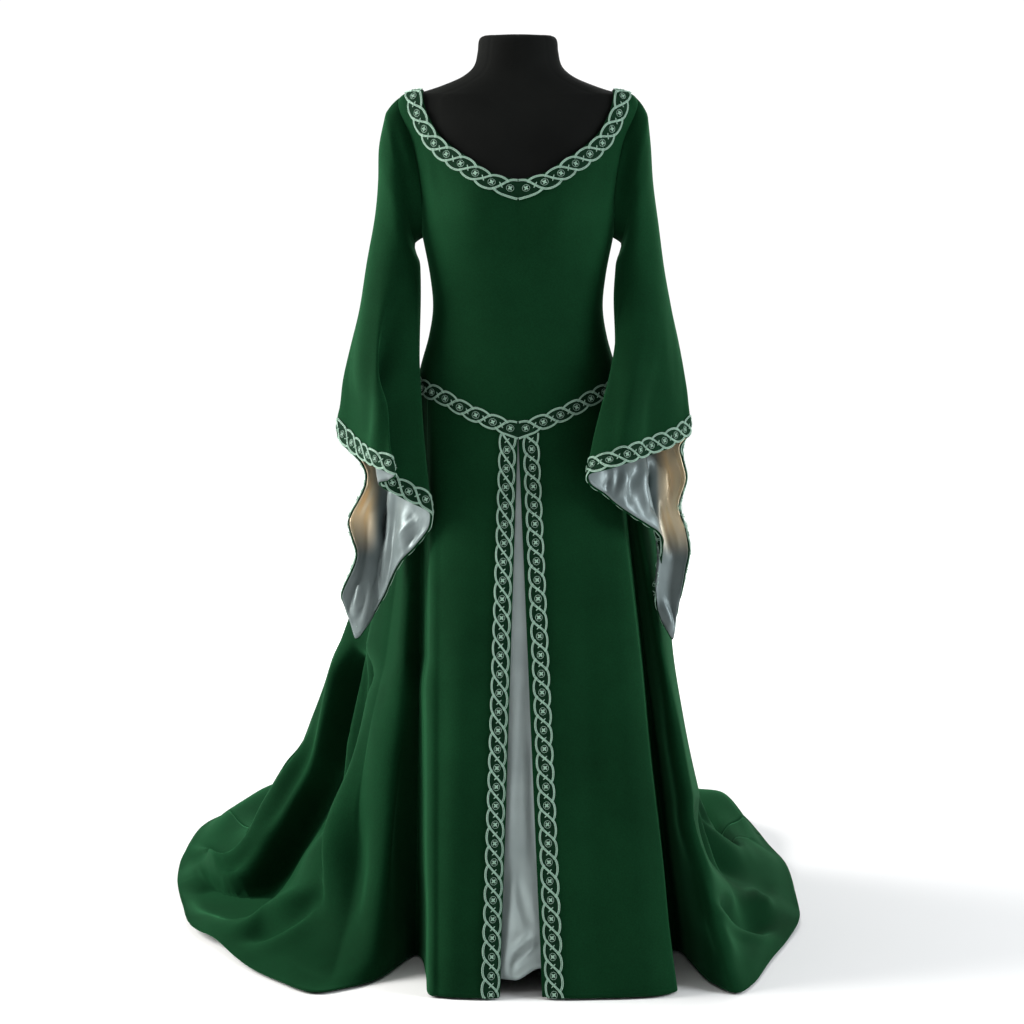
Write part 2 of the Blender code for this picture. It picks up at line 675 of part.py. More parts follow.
def satin_point(across, share):
    angle = SATIN_LEFT + (SATIN_RIGHT - SATIN_LEFT) * across
    top = over_torso(torso_point(angle, girdle_height(angle) - SATIN_TUCK), -SATIN_INWARD, rounds=1)
    wave = SATIN_WAVE * math.sin(2 * math.pi * SATIN_WAVES * across)
    hem_x = SATIN_HEM_LEFT + (SATIN_HEM_RIGHT - SATIN_HEM_LEFT) * across
    hem = np.array([hem_x, SATIN_HEM_Y, SATIN_HEM_HEIGHT])
    point = top + (hem - top) * share
    point[1] += wave * share**2
    return point


def make_underskirt(finish):
    grid = [[satin_point(c / SATIN_COLUMNS, r / SATIN_ROWS) for c in range(SATIN_COLUMNS + 1)]
            for r in range(SATIN_ROWS + 1)]
    wall("underskirt_front", np.array(grid), LINING, finish)


# Braid: on the neckline, round the girdle and beside the slit
BRAID_LIFT = CLOTH + GAP + 0.0007
OVER_SHOULDER = 0.0056      # how much more the neckline's braid stands out over the shoulder's turn
NECK_COLUMNS = 13           # faces along half of the front, and of the back
GIRDLE_AROUND = 48
SLIT_TOP = 0.026            # where the slit's braid starts, as a share of the panel's length


def neck_band_point(share, back, width):
    """Beside the neckline's right half, out over the bodice at a width square to the edge."""
    step = 0.01
    here = neck_at(share, back)
    edge = neck_at(min(share + step, 1), back) - neck_at(max(share - step, 0), back)
    if share == 0:
        edge = neck_at(step, False) - neck_at(step, True)
        edge = edge if not back else -edge
    if share == 1:
        edge = np.array([-1.0, 0.0, 0.0])
    square = np.cross(edge / np.linalg.norm(edge), climb(here) / np.linalg.norm(climb(here)))
    square = square if back else -square
    return over_torso(here + square * width, EASE + OVER_SHOULDER * math.exp(-(share / 0.17) ** 2))


def make_neckline_trim(finish):
    shares = [(step / NECK_COLUMNS) ** 1.2 for step in range(NECK_COLUMNS + 1)]
    stops = [(share, False, -1) for share in shares[1:-1]]
    stops += [(share, False, 1) for share in shares[::-1]]
    stops += [(share, True, 1) for share in shares[1:]]
    stops += [(share, True, -1) for share in shares[::-1][1:]]
    grid = []
    for width in (0.0004, BRAID_WIDTH / 2, BRAID_WIDTH):
        line = []
        for share, back, side in stops:
            line.append(neck_band_point(share, back, width) * np.array([side, 1, 1]))
        grid.append(line)
    wall("neckline_trim", np.array(grid), BRAID, finish, ring=True, lift=BRAID_LIFT)


def make_girdle_trim(finish):
    """The upper half of the band lies on the bodice, the lower half on the skirt."""
    half = GIRDLE_WIDTH / 2
    upper = []
    seam = []
    lower = []
    for step in range(GIRDLE_AROUND):
        angle = 360 * step / GIRDLE_AROUND
        angle = angle if angle <= 180 else angle - 360
        height = girdle_height(angle)
        upper.append(over_torso(torso_point(angle, height + half), EASE, rounds=1))
        seam.append(over_torso(torso_point(angle, height), EASE, rounds=1))
        length = np.linalg.norm(skirt_point(angle, 0.01) - skirt_point(angle, 0.0))
        lower.append(skirt_point(angle, 0.01 * half / length))
    wall("girdle_trim", np.array([upper, seam, lower]), BRAID, finish, ring=True, lift=BRAID_LIFT)


def make_slit_trim(side, finish):
    sign = -1 if side == "left" else 1
    grid = []
    for r in range(SKIRT_ROWS + 1):
        share = SLIT_TOP + (1 - SLIT_TOP) * r / SKIRT_ROWS
        edge = skirt_point(sign * 0.001, share)
        reach = 6.0
        for _ in range(3):
            reach *= BRAID_WIDTH / np.linalg.norm(skirt_point(sign * reach, share) - edge)
        grid.append([edge, skirt_point(sign * reach / 2, share), skirt_point(sign * reach, share)][::sign])
    points = draw_in(np.array(grid), ("end" if side == "left" else "start",))
    wall("slit_trim_" + side, points, BRAID, finish, lift=BRAID_LIFT)


def build():
    for old in list(bpy.data.objects):
        bpy.data.objects.remove(old)
    green = material("green_cloth", GREEN, 0.80)
    satin = material("silver_satin", SATIN, 0.32, 0.15)
    braid = material("knot_braid", THREAD, 0.75)
    jersey = material("form_jersey", JERSEY, 0.85)
    steel = material("stand_steel", STEEL, 0.35, 0.90)
    make_form(jersey)
    make_stand(steel)
    make_bodice("bodice_front", green)
    make_bodice("bodice_back", green, back=True)
    for side in ("left", "right"):
        make_sleeve(side, green, satin, braid)
    make_skirt(green)
    make_underskirt(satin)
    make_neckline_trim(braid)
    make_girdle_trim(braid)
    make_slit_trim("left", braid)
    make_slit_trim("right", braid)


build()
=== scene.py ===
"""A dark green medieval-style gown with bell sleeves and a train, on a black dress form without limbs."""
import json
import math

import bmesh
import bpy
import numpy as np
from mathutils import Matrix

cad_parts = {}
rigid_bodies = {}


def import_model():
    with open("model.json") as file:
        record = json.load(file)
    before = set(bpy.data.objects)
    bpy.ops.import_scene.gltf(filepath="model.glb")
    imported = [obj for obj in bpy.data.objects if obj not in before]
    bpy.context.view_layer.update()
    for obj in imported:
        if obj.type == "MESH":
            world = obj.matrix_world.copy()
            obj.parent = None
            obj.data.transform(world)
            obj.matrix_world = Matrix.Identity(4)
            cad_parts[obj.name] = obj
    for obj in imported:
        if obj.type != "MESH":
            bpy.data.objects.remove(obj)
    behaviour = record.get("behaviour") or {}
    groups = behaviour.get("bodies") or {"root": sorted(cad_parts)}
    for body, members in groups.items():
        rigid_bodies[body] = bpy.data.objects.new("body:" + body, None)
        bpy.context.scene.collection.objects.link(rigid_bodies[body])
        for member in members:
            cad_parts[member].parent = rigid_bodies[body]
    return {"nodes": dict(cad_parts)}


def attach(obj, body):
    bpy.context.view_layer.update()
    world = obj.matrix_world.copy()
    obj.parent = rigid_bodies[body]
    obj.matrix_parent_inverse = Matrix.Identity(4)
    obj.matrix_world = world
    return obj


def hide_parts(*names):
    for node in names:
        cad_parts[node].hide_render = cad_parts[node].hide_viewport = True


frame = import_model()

for left_over in [thing for thing in bpy.data.objects if thing.name in ("Cube", "Light", "Camera")]:
    bpy.data.objects.remove(left_over)
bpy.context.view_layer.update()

# Floor, light and camera
# A pale seamless floor and a plain studio: a large soft light from the front left, a weaker one from
# the right and one from behind, in a pale room. The camera stands where the photograph was taken.

FLOOR_SIZE = 14.0
FLOOR_BACK = 2.0            # how far the floor's middle lies behind the gown
FLOOR_DROP = 0.0012
FLOOR_GREY = (0.86, 0.86, 0.86)
FLOOR_GLOW = 0.80           # how much the far floor is lit of itself, so that it meets the pale room
FLOOR_GLOW_FROM, FLOOR_GLOW_TO = 1.3, 3.6


def placed(name, data):
    """A new object that holds the data, in the scene."""
    made = bpy.data.objects.new(name, data)
    bpy.context.scene.collection.objects.link(made)
    return made


class Finish:
    """A procedural material on Object coordinates, worked up step by step."""

    SOCKETS = {"roughness": "Roughness", "metallic": "Metallic", "specular": "Specular IOR Level",
               "sheen": "Sheen Weight", "sheen_roughness": "Sheen Roughness", "anisotropic": "Anisotropic"}

    def __init__(self, name, sheen_tint=None, **settings):
        self.material = bpy.data.materials.new(name)
        self.material.use_nodes = True
        self.nodes = self.material.node_tree.nodes
        self.link = self.material.node_tree.links.new
        self.shader = self.nodes["Principled BSDF"]
        self.where = self.nodes.new("ShaderNodeTexCoord").outputs["Object"]
        self.relief = None
        for key, value in settings.items():
            self.shader.inputs[self.SOCKETS[key]].default_value = value
        if sheen_tint:
            self.shader.inputs["Sheen Tint"].default_value = (*sheen_tint, 1)

    def node(self, kind, into="Vector", source=None, **inputs):
        made = self.nodes.new("ShaderNode" + kind)
        for key, value in inputs.items():
            made.inputs[key.replace("_", " ")].default_value = value
        if source is not None:
            self.link(source, made.inputs[into])
        return made

    def noise(self, scale, detail=2.0, roughness=0.5, where=None):
        return self.node("TexNoise", source=where or self.where, Scale=scale, Detail=detail,
                         Roughness=roughness).outputs["Fac"]

    def soft_share(self, value, start, end, top=1.0):
        """From 0 where the value is at the start to the top where it is at the end."""
        made = self.node("MapRange", "Value", value, From_Min=start, From_Max=end, To_Max=top)
        made.interpolation_type = "SMOOTHSTEP"
        return made.outputs["Result"]

    def ramp(self, value, *stops):
        made = self.node("ValToRGB", "Fac", value)
        while len(made.color_ramp.elements) < len(stops):
            made.color_ramp.elements.new(0.5)
        for point, (place, colour) in zip(made.color_ramp.elements, stops):
            point.position = place
            point.color = (*colour, 1)
        return made.outputs["Color"]

    def mix(self, share, first, second, blend="MIX"):
        made = self.nodes.new("ShaderNodeMix")
        made.data_type, made.blend_type = "RGBA", blend
        for value, socket in ((share, "Factor"), (first, "A"), (second, "B")):
            if isinstance(value, (float, tuple)):
                made.inputs[socket].default_value = value
            else:
                self.link(value, made.inputs[socket])
        return made.outputs["Result"]

    def tone(self, colour):
        self.link(colour, self.shader.inputs["Base Color"])

    def bump(self, height, strength, distance):
        """Relief over what there is already."""
        made = self.node("Bump", "Height", height, Strength=strength, Distance=distance)
        if self.relief is not None:
            self.link(self.relief, made.inputs["Normal"])
        self.relief = made.outputs["Normal"]
        self.link(self.relief, self.shader.inputs["Normal"])


def pale_floor():
    maker = bmesh.new()
    bmesh.ops.create_grid(maker, x_segments=1, y_segments=1, size=FLOOR_SIZE / 2)
    bmesh.ops.translate(maker, verts=maker.verts, vec=(0, FLOOR_BACK, -FLOOR_DROP))
    mesh = bpy.data.meshes.new("floor")
    maker.to_mesh(mesh)
    maker.free()
    paint = Finish("floor_paint", roughness=0.75)
    paint.shader.inputs["Base Color"].default_value = (*FLOOR_GREY, 1)
    paint.shader.inputs["Emission Color"].default_value = (1.0, 1.0, 1.0, 1)
    away = paint.node("VectorMath", 0, paint.where)
    away.operation = "LENGTH"
    paint.link(paint.soft_share(away.outputs["Value"], FLOOR_GLOW_FROM, FLOOR_GLOW_TO, FLOOR_GLOW),
               paint.shader.inputs["Emission Strength"])
    mesh.materials.append(paint.material)
    placed("floor", mesh)


def soft_light(name, place, aim, size, watts, colour):
    lamp = bpy.data.lights.new(name, "AREA")
    lamp.shape = "RECTANGLE"
    lamp.size, lamp.size_y = size
    lamp.energy = watts
    lamp.color = colour
    holder = placed(name, lamp)
    holder.location = place
    way = np.array(aim, float) - np.array(place, float)
    flat = math.hypot(way[0], way[1])
    holder.rotation_euler = (math.atan2(flat, -way[2]), 0, math.atan2(-way[0], way[1]))


pale_floor()
soft_light("light_left", (-3.4, -0.1, 2.2), (0.0, 0.1, 0.9), (1.8, 2.2), 265, (1.0, 0.985, 0.96))
soft_light("light_right", (3.4, -0.9, 2.0), (0.05, 0.1, 0.9), (1.8, 2.0), 128, (0.93, 0.97, 1.0))
soft_light("light_top", (-0.4, -0.3, 3.6), (0.0, 0.3, 0.6), (2.2, 2.2), 22, (1.0, 1.0, 1.0))
soft_light("light_behind", (0.9, 3.4, 2.4), (0.0, 0.4, 0.6), (2.4, 1.8), 60, (1.0, 1.0, 1.0))

ROOM_LIGHT = 0.21           # light that the room sends onto the gown
WALL_LIGHT = 1.05           # how bright its walls look
room = bpy.data.worlds.new("pale_room")
bpy.context.scene.world = room
room.use_nodes = True
air = room.node_tree.nodes["Background"]
air.inputs["Color"].default_value = (1.0, 1.0, 1.0, 1)
seen_wall = room.node_tree.nodes.new("ShaderNodeMapRange")
seen_wall.inputs["To Min"].default_value, seen_wall.inputs["To Max"].default_value = ROOM_LIGHT, WALL_LIGHT
room.node_tree.links.new(room.node_tree.nodes.new("ShaderNodeLightPath").outputs["Is Camera Ray"],
                         seen_wall.inputs["Value"])
room.node_tree.links.new(seen_wall.outputs["Result"], air.inputs["Strength"])
bpy.context.scene.view_settings.view_transform = "Standard"

CAMERA_PLACE = (-0.009, -4.2, 1.25)
CAMERA_TILT = 7.55          # degrees below level
CAMERA_LENS, CAMERA_SENSOR = 96.4, 36       # millimetres
PICTURE_SCALE = 2742.0      # pixels of a 1024 wide picture for a metre at a metre's distance

eye = bpy.data.cameras.new("camera")
eye.lens = CAMERA_LENS
eye.sensor_width = CAMERA_SENSOR
camera = placed("camera", eye)
camera.location = CAMERA_PLACE
camera.rotation_euler = (math.radians(90 - CAMERA_TILT), 0, 0)
bpy.context.scene.camera = camera


# Dress form
# A padded torso without limbs, covered in matte black jersey with seams down the middle and the
# princess lines, and a flat cap on the neck. The gown hangs on it.

MM = 0.001


class Sizes:
    """A short table of sizes with named columns, read smoothly between its rows by the first one.
    Columns whose names end in _mm are in millimetres, and are read in metres under their plain names."""

    def __init__(self, columns, rows, period=None):
        values = np.array(rows, float) * [MM if name.endswith("_mm") else 1 for name in columns]
        if period:
            before, after = values.copy(), values.copy()
            before[:, 0] -= period
            after[:, 0] += period
            values = np.vstack([before, values, after])
        self.keys = values[:, 0]
        self.columns = {name.removesuffix("_mm"): column for name, column in zip(columns, values.T)}
        ends = np.concatenate([values[:1], values, values[-1:]])
        slopes = (ends[2:] - ends[:-2]) / (ends[2:, :1] - ends[:-2, :1])
        self.slopes = dict(zip(self.columns, slopes.T))

    def at(self, name, key):
        keys = self.keys
        key = np.clip(np.asarray(key, float), keys[0], keys[-1])
        place = np.clip(np.searchsorted(keys, key) - 1, 0, len(keys) - 2)
        span = keys[place + 1] - keys[place]
        t = (key - keys[place]) / span
        column, slope = self.columns[name], self.slopes[name]
        return ((2 * t**3 - 3 * t**2 + 1) * column[place] + (t**3 - 2 * t**2 + t) * slope[place] * span
                + (3 * t**2 - 2 * t**3) * column[place + 1] + (t**3 - t**2) * slope[place + 1] * span)


TORSO = Sizes(("height_mm", "half_width_mm", "front_mm", "back_mm"), [
    (700, 158, 108, 122), (780, 167, 116, 130), (850, 161, 113, 124), (920, 146.5, 104, 108),
    (965, 134, 98, 95), (1010, 127.5, 94, 87), (1060, 132, 100, 87), (1118, 143, 113, 93),
    (1165, 151, 118, 99), (1220, 160, 108, 104), (1270, 170, 92, 103), (1300, 178.5, 77, 92),
    (1322, 178.5, 66, 80), (1331, 168, 62, 74), (1336, 143.5, 60, 71.2), (1346, 112, 56.6, 66.5),
    (1358, 84, 53.8, 61.5), (1373, 67, 52.4, 57), (1395, 61, 52, 53), (1410, 59.5, 51, 52),
    (1416.5, 56, 48, 49), (1419, 50, 43, 44),
])
FORM_SLACK = Sizes(("height_mm", "inward_mm"), [
    (700, 20), (780, 19), (850, 8.5), (900, 4.5), (1230, 3.5), (1300, 2), (1336, 0.6), (1360, 0),
    (1419, 0),
])
ROUNDNESS = 2.25            # 2 is an ellipse, more is squarer
BUST_ACROSS, BUST_HEIGHT, BUST_REACH, BUST_SPREAD = 0.070, 1.165, 0.014, 0.052


def bust(x, height):
    across = (np.abs(x) - BUST_ACROSS) / BUST_SPREAD
    up = (height - BUST_HEIGHT) / BUST_SPREAD
    return BUST_REACH * np.exp(-across**2 - up**2)


def bent_power(value, power):
    return np.sign(value) * np.abs(value) ** power


def torso_point(angle, height):
    """Places on the torso: angle 0 is the front, 90 the right side, 180 the back."""
    angle, height = np.broadcast_arrays(np.asarray(angle, float), np.asarray(height, float))
    turn = np.radians(angle)
    x = TORSO.at("half_width", height) * bent_power(np.sin(turn), 2 / ROUNDNESS)
    ahead = bent_power(np.cos(turn), 2 / ROUNDNESS)
    reach = np.where(ahead > 0, TORSO.at("front", height) + bust(x, height), TORSO.at("back", height))
    return np.stack([x, -ahead * reach, height], -1)


def fullness(places):
    """Zero on the torso's surface, less inside it, more outside it."""
    x, y, height = places[..., 0], places[..., 1], places[..., 2]
    depth = np.where(y > 0, TORSO.at("back", height), TORSO.at("front", height) + bust(x, height))
    return (np.abs(x) / TORSO.at("half_width", height)) ** ROUNDNESS + (np.abs(y) / depth) ** ROUNDNESS - 1


def climb(places):
    """The direction in which the fullness grows, and how fast."""
    step = 0.0004
    return np.stack([(fullness(places + step * way) - fullness(places - step * way)) / (2 * step)
                     for way in np.eye(3)], -1)


def over_torso(places, out=0.0, rounds=6):
    """The nearest places on the torso, moved out along the normal."""
    places = np.array(places, float)
    for _ in range(rounds):
        slope = climb(places)
        steep = np.maximum((slope**2).sum(-1, keepdims=True), 1.0)
        places = places - fullness(places)[..., None] * slope / steep
    slope = climb(places)
    return places + np.asarray(out)[..., None] * slope / np.linalg.norm(slope, axis=-1, keepdims=True)


def normals_of(places, ring=False):
    along = np.gradient(places, axis=0)
    if ring:
        across = (np.roll(places, -1, axis=1) - np.roll(places, 1, axis=1)) / 2
    else:
        across = np.gradient(places, axis=1)
    normals = np.cross(along, across)
    return normals / np.maximum(np.linalg.norm(normals, axis=2, keepdims=True), 1e-9)


def cloth_sheet(name, places, finish, thickness=0.0, ring=False):
    """A sheet made from a grid whose points are moved to their places: rows run down, columns run
    towards +X at the front. The outer side is on the places, the wall's thickness goes inward."""
    if ring:
        places = np.concatenate([places, places[:, :1]], axis=1)
    rows, columns = places.shape[:2]
    maker = bmesh.new()
    maker.loops.layers.uv.new("UVMap")
    bmesh.ops.create_grid(maker, x_segments=columns - 1, y_segments=rows - 1, size=0.5, calc_uvs=True)
    maker.verts.ensure_lookup_table()
    for vert, place in zip(maker.verts, places.reshape(-1, 3)):
        vert.co = place
    bmesh.ops.reverse_faces(maker, faces=maker.faces)
    if ring:
        edge = [vert for vert in maker.verts if vert.is_boundary]
        bmesh.ops.remove_doubles(maker, verts=edge, dist=1e-6)
    mesh = bpy.data.meshes.new(name)
    maker.to_mesh(mesh)
    maker.free()
    mesh.shade_smooth()
    mesh.materials.append(finish)
    piece = placed(name, mesh)
    if thickness:
        wall = piece.modifiers.new("wall", "SOLIDIFY")
        wall.thickness = thickness
        wall.offset = -1
    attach(piece, "root")
    return piece


def jersey():
    made = Finish("black_jersey", roughness=0.88, specular=0.08, sheen=0.03, sheen_roughness=0.45,
                  sheen_tint=(0.55, 0.62, 0.55))
    made.tone(made.ramp(made.noise(9.0, 4.0),
                        (0.35, (0.0026, 0.0030, 0.0027)), (0.70, (0.0048, 0.0054, 0.0049))))
    made.bump(made.noise(1400.0, 1.0), 0.35, 0.0004)        # the knit
    made.bump(made.noise(55.0, 3.0), 0.15, 0.001)
    return made.material


FORM_AROUND = 120
FORM_BOTTOM, FORM_SHOULDER, FORM_TOP = 0.700, 1.30, 1.419
ROWS_BELOW, ROWS_ABOVE = 50, 70                         # below and above the shoulder's start
FORM_SEAMS = (0, 42, 90, 138, 180, 222, 270, 318)       # angles of the cover's seams
FORM_SEAM_DEPTH = 0.0007
FORM_SEAM_WIDTH = 0.0016
CAP_RISE = 0.0022
CAP_RINGS = [(0.02, 0.0), (0.35, 0.0002), (0.62, 0.0004), (0.82, 0.0005), (0.92, 0.0003)]   # share, drop


def dress_form():
    heights = np.concatenate([np.linspace(FORM_BOTTOM, FORM_SHOULDER, ROWS_BELOW, endpoint=False),
                              np.linspace(FORM_SHOULDER, FORM_TOP, ROWS_ABOVE)])[::-1]
    angles = 360 * np.arange(FORM_AROUND) / FORM_AROUND
    places = torso_point(angles[None, :], heights[:, None])
    slack = FORM_SLACK.at("inward", heights)[:, None] * np.ones(FORM_AROUND)
    half = np.linalg.norm(places[..., :2], axis=-1)
    for seam in FORM_SEAMS:
        across = np.radians((angles - seam + 180) % 360 - 180)[None, :] * half
        slack = slack + FORM_SEAM_DEPTH * np.exp(-(across / FORM_SEAM_WIDTH) ** 2)
    places = over_torso(places, -slack, rounds=0)
    places[-1, :, 2] = FORM_BOTTOM
    cap = [places[0] * (share, share, 1) + (0, 0, CAP_RISE * (1 - share**2) - drop)
           for share, drop in CAP_RINGS]
    under = places[-1] * (0.02, 0.02, 1)
    places = np.concatenate([np.array(cap), places, under[None]])
    piece = cloth_sheet("form_cover", places, jersey(), ring=True)
    maker = bmesh.new()
    maker.from_mesh(piece.data)
    bmesh.ops.holes_fill(maker, edges=[edge for edge in maker.edges if edge.is_boundary], sides=0)
    maker.to_mesh(piece.data)
    maker.free()
    piece.data.shade_smooth()
    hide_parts("dress_form")


dress_form()


# Stand
# A round base, its collar and a pole, turned in steel and painted black with a soft sheen. It is
# hidden under the skirt and carries the form.

def black_paint():
    made = Finish("black_paint")
    made.tone(made.ramp(made.noise(30.0, 4.0), (0.3, (0.010, 0.010, 0.011)), (0.7, (0.018, 0.018, 0.019))))
    made.link(made.ramp(made.noise(90.0, 3.0), (0.3, (0.32, 0.32, 0.32)), (0.7, (0.45, 0.45, 0.45))),
              made.shader.inputs["Roughness"])
    made.bump(made.noise(700.0), 0.12, 0.0004)
    return made.material


paint = black_paint()
for node in ("stand_base", "stand_collar", "stand_pole"):
    part = frame["nodes"][node]
    part.data.materials.clear()
    part.data.materials.append(paint)


# Bodice
# A fitted front and back in dark green cloth with a short soft nap, joined at the shoulders and the
# sides. It is smooth over the bust, with slack lines towards the armholes.

CLOTH = 0.0018              # from the cloth's inner side to its outer side, on the form
SHELL = 0.0014              # thickness of the cloth's own wall
EASE = 0.0006               # from the form to the cloth
GIRDLE = Sizes(("angle", "height_mm"), [
    (0, 832), (25, 859), (47, 881), (90, 897), (135, 901), (180, 901),
])
NECK_FRONT = Sizes(("share", "across_mm", "height_mm"), [
    (0, 143.5, 1336), (0.12, 140, 1313.4), (0.25, 130, 1290), (0.36, 117, 1270), (0.5, 94, 1250),
    (0.64, 68, 1233), (0.8, 40.5, 1214.5), (0.93, 14.5, 1206.5), (1, 0, 1204),
])
NECK_BACK = Sizes(("share", "across_mm", "height_mm"), [
    (0, 143.5, 1336), (0.15, 138, 1322), (0.35, 118, 1306), (0.55, 88, 1296), (0.75, 52, 1289),
    (1, 0, 1286),
])
ARMHOLE = Sizes(("share", "angle", "height_mm"), [
    (0, 90, 1325), (0.12, 79, 1304), (0.3, 70, 1270), (0.5, 67, 1225), (0.7, 69, 1180), (0.85, 76, 1142),
    (1, 90, 1118),
])
SHOULDER_SHARE = 2 / 9      # of the top edge, the part that is the shoulder seam
ARM_SHARE = 8 / 14          # of the side edge, the part that is the armhole
UNDERARM_HEIGHT = 1.118
BODICE_ACROSS = 112
BODICE_DOWN = 96


def girdle_height(angle):
    return GIRDLE.at("height", np.abs(angle))


def on_torso(angle, height, back):
    return torso_point(180 - np.asarray(angle, float) if back else angle, height)


def armhole_at(share, back=False):
    return on_torso(ARMHOLE.at("angle", share), ARMHOLE.at("height", share), back)


def neck_at(share, back=False):
    """The neckline's right half, share 0 at the shoulder and 1 at the middle."""
    table = NECK_BACK if back else NECK_FRONT
    height = table.at("height", share)
    across = np.clip(table.at("across", share) / TORSO.at("half_width", height), 0, 1)
    return on_torso(np.degrees(np.arcsin(across ** (ROUNDNESS / 2))), height, back)


def girdle_at(angle, back=False):
    angle = np.asarray(angle, float)
    return on_torso(angle, girdle_height(180 - angle if back else angle), back)


def bodice_place(across, down, out, back=False):
    """Places on a piece, across it (-1 to 1) and down it (0 to 1), out from the torso."""
    side = np.abs(across)
    corner = 1 - SHOULDER_SHARE
    on_neck = neck_at(1 - np.clip(side / corner, 0, 1), back)
    along = np.clip((side - corner) / SHOULDER_SHARE, 0, 1)[..., None]
    on_shoulder = over_torso(neck_at(0, back) * (1 - along) + armhole_at(0, back) * along)
    top = np.where((side <= corner)[..., None], on_neck, on_shoulder)
    on_arm = armhole_at(np.clip(down / ARM_SHARE, 0, 1), back)
    below = np.clip((down - ARM_SHARE) / (1 - ARM_SHARE), 0, 1)
    on_side = on_torso(90, UNDERARM_HEIGHT + (girdle_height(90) - UNDERARM_HEIGHT) * below, back)
    edge = np.where((down <= ARM_SHARE)[..., None], on_arm, on_side)
    neck_height = (NECK_BACK if back else NECK_FRONT).at("height", 1)
    low = girdle_height(180 if back else 0)
    middle = on_torso(0, neck_height + (low - neck_height) * down, back)
    side, down = side[..., None], down[..., None]
    corners = ((1 - side) * (1 - down) * neck_at(1, back) + side * (1 - down) * armhole_at(0, back)
               + (1 - side) * down * girdle_at(0, back) + side * down * girdle_at(90, back))
    place = ((1 - down) * top + down * girdle_at(90 * side[..., 0], back)
             + (1 - side) * middle + side * edge - corners)
    place = over_torso(place, out)
    place[..., 0] *= np.where(across < 0, -1, 1)
    return place


def seen(places):
    """Where places are in the picture, in pixels, and how many metres a pixel is there."""
    x, y, z = places[..., 0], places[..., 1], places[..., 2]
    tilt = math.radians(CAMERA_TILT)
    ahead, above = y - CAMERA_PLACE[1], z - CAMERA_PLACE[2]
    away = ahead * math.cos(tilt) - above * math.sin(tilt)
    up = above * math.cos(tilt) + ahead * math.sin(tilt)
    scale = PICTURE_SCALE / away
    return np.stack([512 + (x - CAMERA_PLACE[0]) * scale, 512 - up * scale], -1), 1 / scale


def smooth_line(line, count=28):
    """A curve through a few points, as many short steps."""
    line = np.array(line, float)
    reach = np.concatenate([[0], np.cumsum(np.linalg.norm(np.diff(line, axis=0), axis=1))])
    table = Sizes(("reach",) + tuple(str(n) for n in range(line.shape[1])), np.column_stack([reach, line]))
    stops = np.linspace(0, reach[-1], count)
    return np.stack([table.at(str(n), stops) for n in range(line.shape[1])], -1)


def beside_line(flat, line):
    """Distance of flat places from a line, positive on its right, and the share along it."""
    line = smooth_line(line)
    best = np.full(flat.shape[:-1], 1e9)
    signed = np.zeros(flat.shape[:-1])
    share = np.zeros(flat.shape[:-1])
    for n, (start, end) in enumerate(zip(line[:-1], line[1:])):
        step = end - start
        length = step @ step
        t = np.clip(((flat - start) @ step) / length, 0, 1)
        away = flat - start - t[..., None] * step
        distance = np.linalg.norm(away, axis=-1)
        closer = distance < best
        side = np.sign(step[0] * away[..., 1] - step[1] * away[..., 0])
        best = np.where(closer, distance, best)
        signed = np.where(closer, -side * distance, signed)
        share = np.where(closer, (n + t) / (len(line) - 1), share)
    return signed, share


def smooth_step(value):
    value = np.clip(value, 0, 1)
    return value * value * (3 - 2 * value)


def fade(share, start, end):
    """One along the middle of a line, running out softly over a share of it at each end."""
    rise = np.clip(share / start, 0, 1) if start else 1.0
    fall = np.clip((1 - share) / end, 0, 1) if end else 1.0
    return smooth_step(rise * fall)


NEAR_SIDE, NEAR_FADE = 0.50, 0.2        # y from which folds of the front view run out, and over how much
FACING_RATE, FACING_START = 6, 0.9      # how soon folds run out where the sheet turns from the view
SIDE_RIDGES, RIDGE_AT = 0.30, 2.0       # height of the ridges beside a trough, and where, in its widths


def press_folds(places, folds, ring=False, inside=False):
    """Moves a sheet along its normals by folds that are drawn on the front view, each with its line in
    the picture, its width and depth in mm, the shares of its line that fade in and out, and how much
    steeper it is on its left. A depth above 0 is a trough between soft ridges, below 0 a ridge."""
    normals = normals_of(places, ring)
    flat, metre = seen(places)
    view = np.array([0, math.cos(math.radians(CAMERA_TILT)), -math.sin(math.radians(CAMERA_TILT))])
    if inside:
        normals = -normals
    facing = np.clip(-(normals @ view) * FACING_RATE + FACING_START, 0, 1)
    facing = facing * (1 - smooth_step((places[..., 1] - NEAR_SIDE) / NEAR_FADE))
    move = np.zeros(places.shape[:2])
    for line, width, depth, start, end, *lean in folds:
        width, depth = width * MM, depth * MM
        away, share = beside_line(flat, line)
        lean = lean[0] if lean else 0.0
        away = away * metre / (width * np.where(away < 0, 1 - lean, 1 + lean))
        profile = np.exp(-away**2) - SIDE_RIDGES * np.exp(-(np.abs(away) - RIDGE_AT) ** 2)
        move -= depth * profile * fade(share, start, end)
    return places + normals * (move * facing)[..., None]


GREEN_DARK = (0.0018, 0.0200, 0.0065)
GREEN_MIDDLE = (0.0026, 0.0265, 0.0088)
GREEN_LIGHT = (0.0036, 0.0328, 0.0112)


